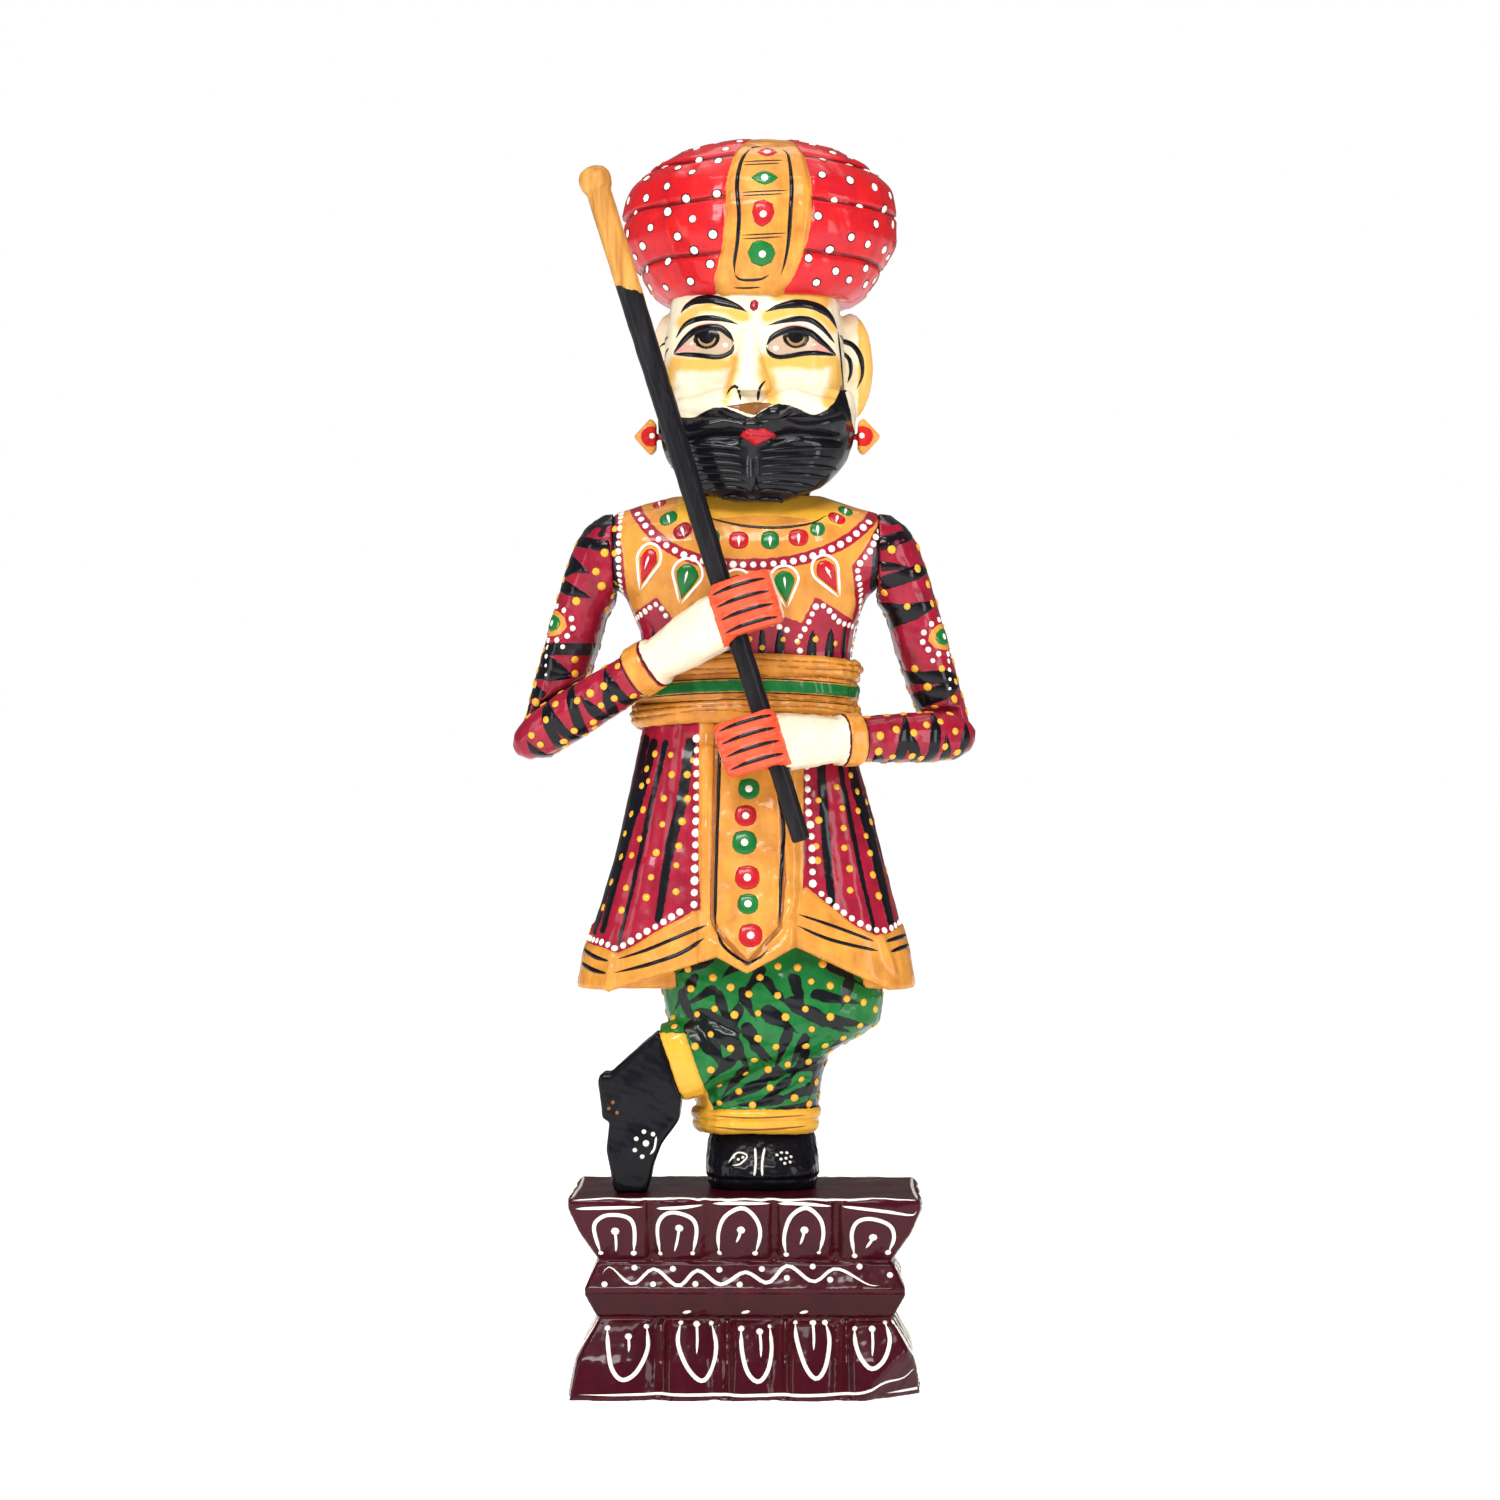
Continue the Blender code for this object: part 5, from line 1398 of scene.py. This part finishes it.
PLINTH_FOOT = 0.0012
UPPER_ARCHES = (
    ((-69.2, 68), (-72.1, 80.9), (-68.5, 86.3), (-62.6, 87.7), (-55.3, 86), (-52.7, 80.1), (-53.4, 68)),
    ((-40.7, 67.7), (-41.8, 80.1), (-39.3, 86.7), (-33.5, 88.9), (-25.4, 86), (-23, 79.4), (-25.1, 68)),
    ((-12.3, 68), (-12.7, 77.9), (-9.4, 86.7), (-1.1, 91.1), (5.2, 86), (7.4, 77.9), (4.9, 68)),
    ((19.8, 67.3), (18.8, 76.5), (22, 86.7), (29.3, 91.2), (35.8, 86), (37.6, 77.9), (35.5, 68.5)),
    ((52.6, 66.8), (51.1, 77.9), (54.1, 84.5), (61.3, 85.7), (69.4, 82.3), (71.3, 75.8), (68.6, 68.5)),
)
UPPER_DROPS = (
    ((-61.9, 79.4), (-61.9, 68.5)), ((-31.3, 80.9), (-33.9, 68.5)), ((-1.8, 80.1), (-4.3, 73.3)),
    ((28.5, 80.1), (26.3, 72.4)), ((61.3, 76.5), (57.7, 70.7)),
)
LOWER_CUPS = (
    ((-66, 32), (-65.5, 24), (-63.4, 13.8), (-58.3, 8.7), (-51.7, 12.3), (-46.6, 22.5), (-47.3, 32.7)),
    ((-30.8, 34.5), (-32, 25.4), (-26.9, 13.8), (-20.3, 8.2), (-15.7, 13.8), (-13.8, 24), (-16.2, 34)),
    ((-1.8, 32), (-1.4, 22.5), (1.5, 12.3), (6.6, 7.9), (11, 13), (12.8, 22.5), (11.8, 32.7)),
    ((24.2, 34.6), (24.9, 26.9), (29.3, 14.5), (34.4, 9.4), (38.7, 15.2), (40.5, 26.9), (38.4, 34.6)),
    ((52.6, 32), (53, 25.4), (55.5, 18.9), (60.6, 14.1), (66.5, 18.1), (69.4, 26.9), (67.2, 34.6)),
)
LOWER_DROPS = (
    ((-55.8, 28.4), (-55.6, 21.1)), ((-23.2, 33.9), (-23, 20.3)), ((7.1, 30.6), (7.7, 18.9)),
    ((32.6, 34.6), (32.9, 22.2)), ((61, 32), (60.9, 19.6)),
)
BARS = (
    ((-81, 90.4), (-66, 91), (-48, 91.4)), ((-42.5, 90.6), (-31, 91.2), (-19.6, 92.4)),
    ((-15.5, 92.9), (-2, 93.3), (12.5, 93.1)), ((15.7, 93.1), (29, 93), (41.7, 91.8)),
    ((46, 91.8), (66.5, 89.6), (79.5, 87.6), (82, 89.8)),
)
WAVE = (
    (-68.5, 57.5), (-64.8, 61.2), (-53.9, 53.4), (-43.7, 60.4), (-32, 52.6), (-22.8, 59.7), (-11.6, 53.3),
    (0.1, 59), (11, 54), (20.5, 62), (32.9, 54.6), (43.8, 60.7), (59.2, 53.3), (65, 53.3),
)
WAVE_DOTS = (
    (-53.1, 60.9), (-34.6, 60.4), (-12.3, 60), (8.1, 60.4), (32.5, 61.6), (55, 61.6), (-67.3, 53.4),
    (-44, 53.4), (-23.7, 53.6), (-2.5, 53.4), (20.1, 56.4), (40.9, 55.6), (69.5, 57.8),
)


def make_plinth():
    block = Block("plinth", 1.15, 2)
    rise = block.z
    front = np.abs(block.normals[:, 1]) > 0.4
    upper = (rise > 66) & (rise < 95) & (np.abs(block.normals[:, 2]) < 0.9)
    lower = (rise < 38) & (rise > 1.5)

    def to_cut(across, cuts):
        """How far each place is from the nearest cut between two petals."""
        return np.min([np.abs(across - at) for at in cuts], axis=0)

    at_side = to_cut(block.y, (-27, 1, 29))
    between_upper = np.where(front, to_cut(block.x, (-45.4, -18.4, 13.9, 43.8)), at_side)
    between_lower = np.where(front, to_cut(block.x, (-40, -8.7, 19, 48.5)), at_side)
    valley_upper = groove(between_upper, 1.9) * upper
    valley_lower = np.clip(1.3 - between_lower / 3.2, 0, 1) * lower
    swell = np.clip(between_lower / 12, 0, 1) ** 0.5 * np.sin(np.clip(rise / 38, 0, 1) * math.pi) * lower
    lines = sum(groove(rise - height, 0.9) for height in (37.6, 51.0, 65.2))
    block.push(
        -1.3 * valley_upper
        - 2.2 * valley_lower
        + swell
        - 0.8 * lines * (np.abs(block.normals[:, 2]) < 0.95)
        + block.uneven((0.3, 22, 131), (0.08, 6, 132))
    )
    # Painted shade: the maroon is darkened in the carved valleys between the petals and in the groove lines
    # round the plinth.
    dark = np.maximum(valley_lower * 2 - 1.1, lines * 2 - 1.2)
    block.field("dark", np.maximum(dark, valley_upper * 2 - 1.1))
    block.field("band", 6.2 - np.abs(rise - 44.6))
    finish = enamel(
        "plinth_enamel",
        MAROON,
        (0.030, 0.002, 0.005),
        (
            ("band", (0.040, 0.002, 0.004), (0.020, 0.001, 0.003)),
            ("dark", (0.050, 0.001, 0.004), DEEP_MAROON),
        ),
        mottle=0.7,
        roughness=0.33,
        coat=0.30,
        speckle=4.0,
        gleam=0.04,
    )
    block.settle("maroon_enamel", finish)
    for name, azimuth in (("front", 0), ("left", 270), ("back", 180), ("right", 90)):
        short = name in ("left", "right")
        paint_plinth(Palette(block, "plinth_" + name), Facing(block, PLINTH_FOOT, azimuth), short)
    palette = Palette(block, "plinth_top")
    low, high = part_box("plinth")
    x, y = high[0] / MM - 1.6, high[1] / MM - 1.6
    front = -low[1] / MM - 1.8
    rim = (
        ((-x, -front), (-x / 2, -front + 0.4), (0, -front - 0.2), (x / 2, -front + 0.3), (x, -front + 0.4)),
        ((-x, y), (0, y - 0.4), (x, y)),
        ((x - 1.5, -front), (x - 2.6, 0), (x - 1.2, y)),
        ((1.5 - x, -front), (2.4 - x, 0), (1.4 - x, y)),
    )
    for route in rim:
        palette.white.line(Above(block), route, 1.4, (0.8, 0.8), 0.4)
    palette.done()


def paint_plinth(palette, view, short):
    """The white work on one face. A short side has room for the three middle petals only."""
    white = palette.white

    def fit(route, middle):
        """On a short side, a route moved so that it stands about its own middle."""
        if not short:
            return route
        centre = sum(x for x, _ in route) / len(route)
        return [(x - centre + middle, z) for x, z in route]

    petals = list(zip((-58, -27, 0, 27, 58), UPPER_ARCHES, UPPER_DROPS, LOWER_CUPS, LOWER_DROPS))
    for place, arch, mark, cup, tear in petals[1:4] if short else petals:
        arch, cup = fit(arch, place), fit(cup, place)
        white.line(view, arch, 1.8, (0.9, 0.9), 0.5)
        white.line(view, cup, 1.9, (1, 1), 0.5)
        for end in (arch[0], arch[-1], cup[0], cup[-1]):
            white.dot(view.at(*end), random.uniform(1.1, 1.7), 0.6)
        for marks, size in ((mark, 2.1), (tear, 1.8)):
            top, foot = fit(marks, place)
            white.dot(view.at(*top), size, 0.7)
            middle = ((top[0] + foot[0]) / 2 + 0.3, (top[1] + foot[1]) / 2)
            white.line(view, (top, middle, foot), 1.2, (1, 0.35), 0.45)
    for bar, place in zip(BARS[1:4], (-27, 0, 27)) if short else ((bar, 0) for bar in BARS):
        white.line(view, fit(bar, place), 1.4, (0.7, 0.3), 0.4)
    white.line(view, WAVE[4:11] if short else WAVE, 1.7, (0.7, 0.7), 0.45)
    for dot in WAVE_DOTS:
        if not short or abs(dot[0]) < 35:
            white.dot(view.at(*dot), 1.6, 0.6)
    for across in (-27.6, 0.5, 28.5):
        white.line(view, ((across - 2.5, 39.2), (across + 2, 40.2)), 1.4, (0.3, 0.6), 0.4)
    end = 42 if short else 80
    foot = ((-end, 1.6), (-end * 0.5, 1.9), (0, 1.6), (end * 0.45, 1.8), (end * 0.7, 2.8))
    if not short:
        foot += ((66.5, 7.2), (76, 8.4), (82, 13.5))
    white.line(view, foot, 1.4, (0.6, 0.6), 0.4)
    palette.done()


# The staff

HANDLE = 0.529  # where the bare gold of the staff's head starts


def make_staff():
    block = Block("staff", 0.8, 2, STAFF)
    block.push(block.uneven((0.10, 14, 141), (0.05, 5, 142)))
    block.field("gold", block.z - HANDLE / MM + (block.x + 54) * 0.3)
    finish = Finish("staff_paint", 0.42, 0.06, 1.0, 0.10)
    grain = finish.noise(2.2, 4, 0.7, (1, 1, 0.05))
    long_grain = finish.noise(5, 3, 0.6, (1, 1, 0.03))
    mask = (finish.attribute("gold") + (finish.noise(3, 2) - 0.5) * 3).rise(-0.2, 0.2)
    black = finish.blend(long_grain.rise(0.4, 0.7) * 0.7, (0.005, 0.005, 0.007), (0.018, 0.015, 0.017))
    gold = finish.blend(long_grain.rise(0.35, 0.65), (0.62, 0.30, 0.07), (0.36, 0.15, 0.03))
    block.settle("black_enamel", finish.surface(finish.blend(mask, black, gold), grain * 0.5, 0.55))


def make_dowels():
    """The hidden dowels keep their own shape and are left as bare wood."""
    finish = Finish("dowel_wood", 0.6, 0.0)
    rings = finish.noise(1.5, 4, 0.6, (1, 1, 0.08))
    wood = finish.surface(finish.blend(rings, (0.50, 0.32, 0.16), (0.34, 0.19, 0.08)), rings)
    for name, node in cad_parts.items():
        if "dowel" in name:
            node.data.materials.clear()
            node.data.materials.append(wood)


# The room, the lights and the camera


def make_floor():
    shape = bmesh.new()
    bmesh.ops.create_grid(shape, x_segments=2, y_segments=2, size=40)
    floor = link_shape("floor", shape)
    finish = Finish("floor_paper", 0.9, 0.0)
    finish.shader.inputs["Base Color"].default_value = (0.92, 0.92, 0.92, 1)
    finish.shader.inputs["Emission Color"].default_value = (1, 1, 1, 1)
    finish.shader.inputs["Emission Strength"].default_value = 0.68
    floor.data.materials.append(finish.material)


def area_light(name, place, target, size, power):
    light = bpy.data.lights.new(name, "AREA")
    light.shape = "RECTANGLE"
    light.size, light.size_y = size
    light.energy = power
    lamp = link_object(name, light)
    lamp.location = place
    lamp.rotation_euler = (Vector(target) - Vector(place)).to_track_quat("-Z", "Y").to_euler()


def make_studio():
    make_floor()
    middle = (0, 0, 0.32)
    area_light("key_light", (-0.30, -1.75, 1.25), middle, (0.85, 0.40), 25)
    area_light("fill_light", (1.3, -1.2, 0.6), middle, (0.5, 0.9), 10)
    area_light("left_light", (-1.4, -0.8, 0.5), middle, (0.5, 0.9), 6)
    area_light("top_light", (0.0, 0.5, 1.7), middle, (0.9, 0.6), 4)
    area_light("high_light", (-0.2, -1.0, 1.6), (0, 0, 0.05), (1.0, 0.25), 8)
    sky = bpy.data.lights.new("sky_light", "SUN")
    sky.energy = 1.0
    sky.angle = math.radians(60)
    link_object("sky_light", sky)
    world = bpy.data.worlds.new("studio_air")
    world.use_nodes = True
    tree = world.node_tree
    background = tree.nodes["Background"]
    background.inputs["Color"].default_value = (1, 1, 1, 1)
    paths = tree.nodes.new("ShaderNodeLightPath")
    strength = tree.nodes.new("ShaderNodeMapRange")
    strength.inputs["To Min"].default_value = 0.14
    strength.inputs["To Max"].default_value = 1.0
    tree.links.new(paths.outputs["Is Camera Ray"], strength.inputs["Value"])
    tree.links.new(strength.outputs["Result"], background.inputs["Strength"])
    bpy.context.scene.world = world
    bpy.context.scene.view_settings.view_transform = "Standard"

    camera = bpy.data.cameras.new("camera")
    camera.lens = 88.1
    camera.sensor_width = 36
    camera.shift_y = 0.0206
    holder = link_object("camera", camera)
    holder.location = (0.027, -1.8, 0.2958)
    holder.rotation_euler = (math.radians(90), 0, math.radians(0.8))
    bpy.context.scene.camera = holder


make_turban()
make_head()
make_earrings()
make_torso()
make_arms()
make_sash()
make_skirt()
make_legs()
make_shoes()
make_plinth()
make_staff()
make_dowels()
make_studio()
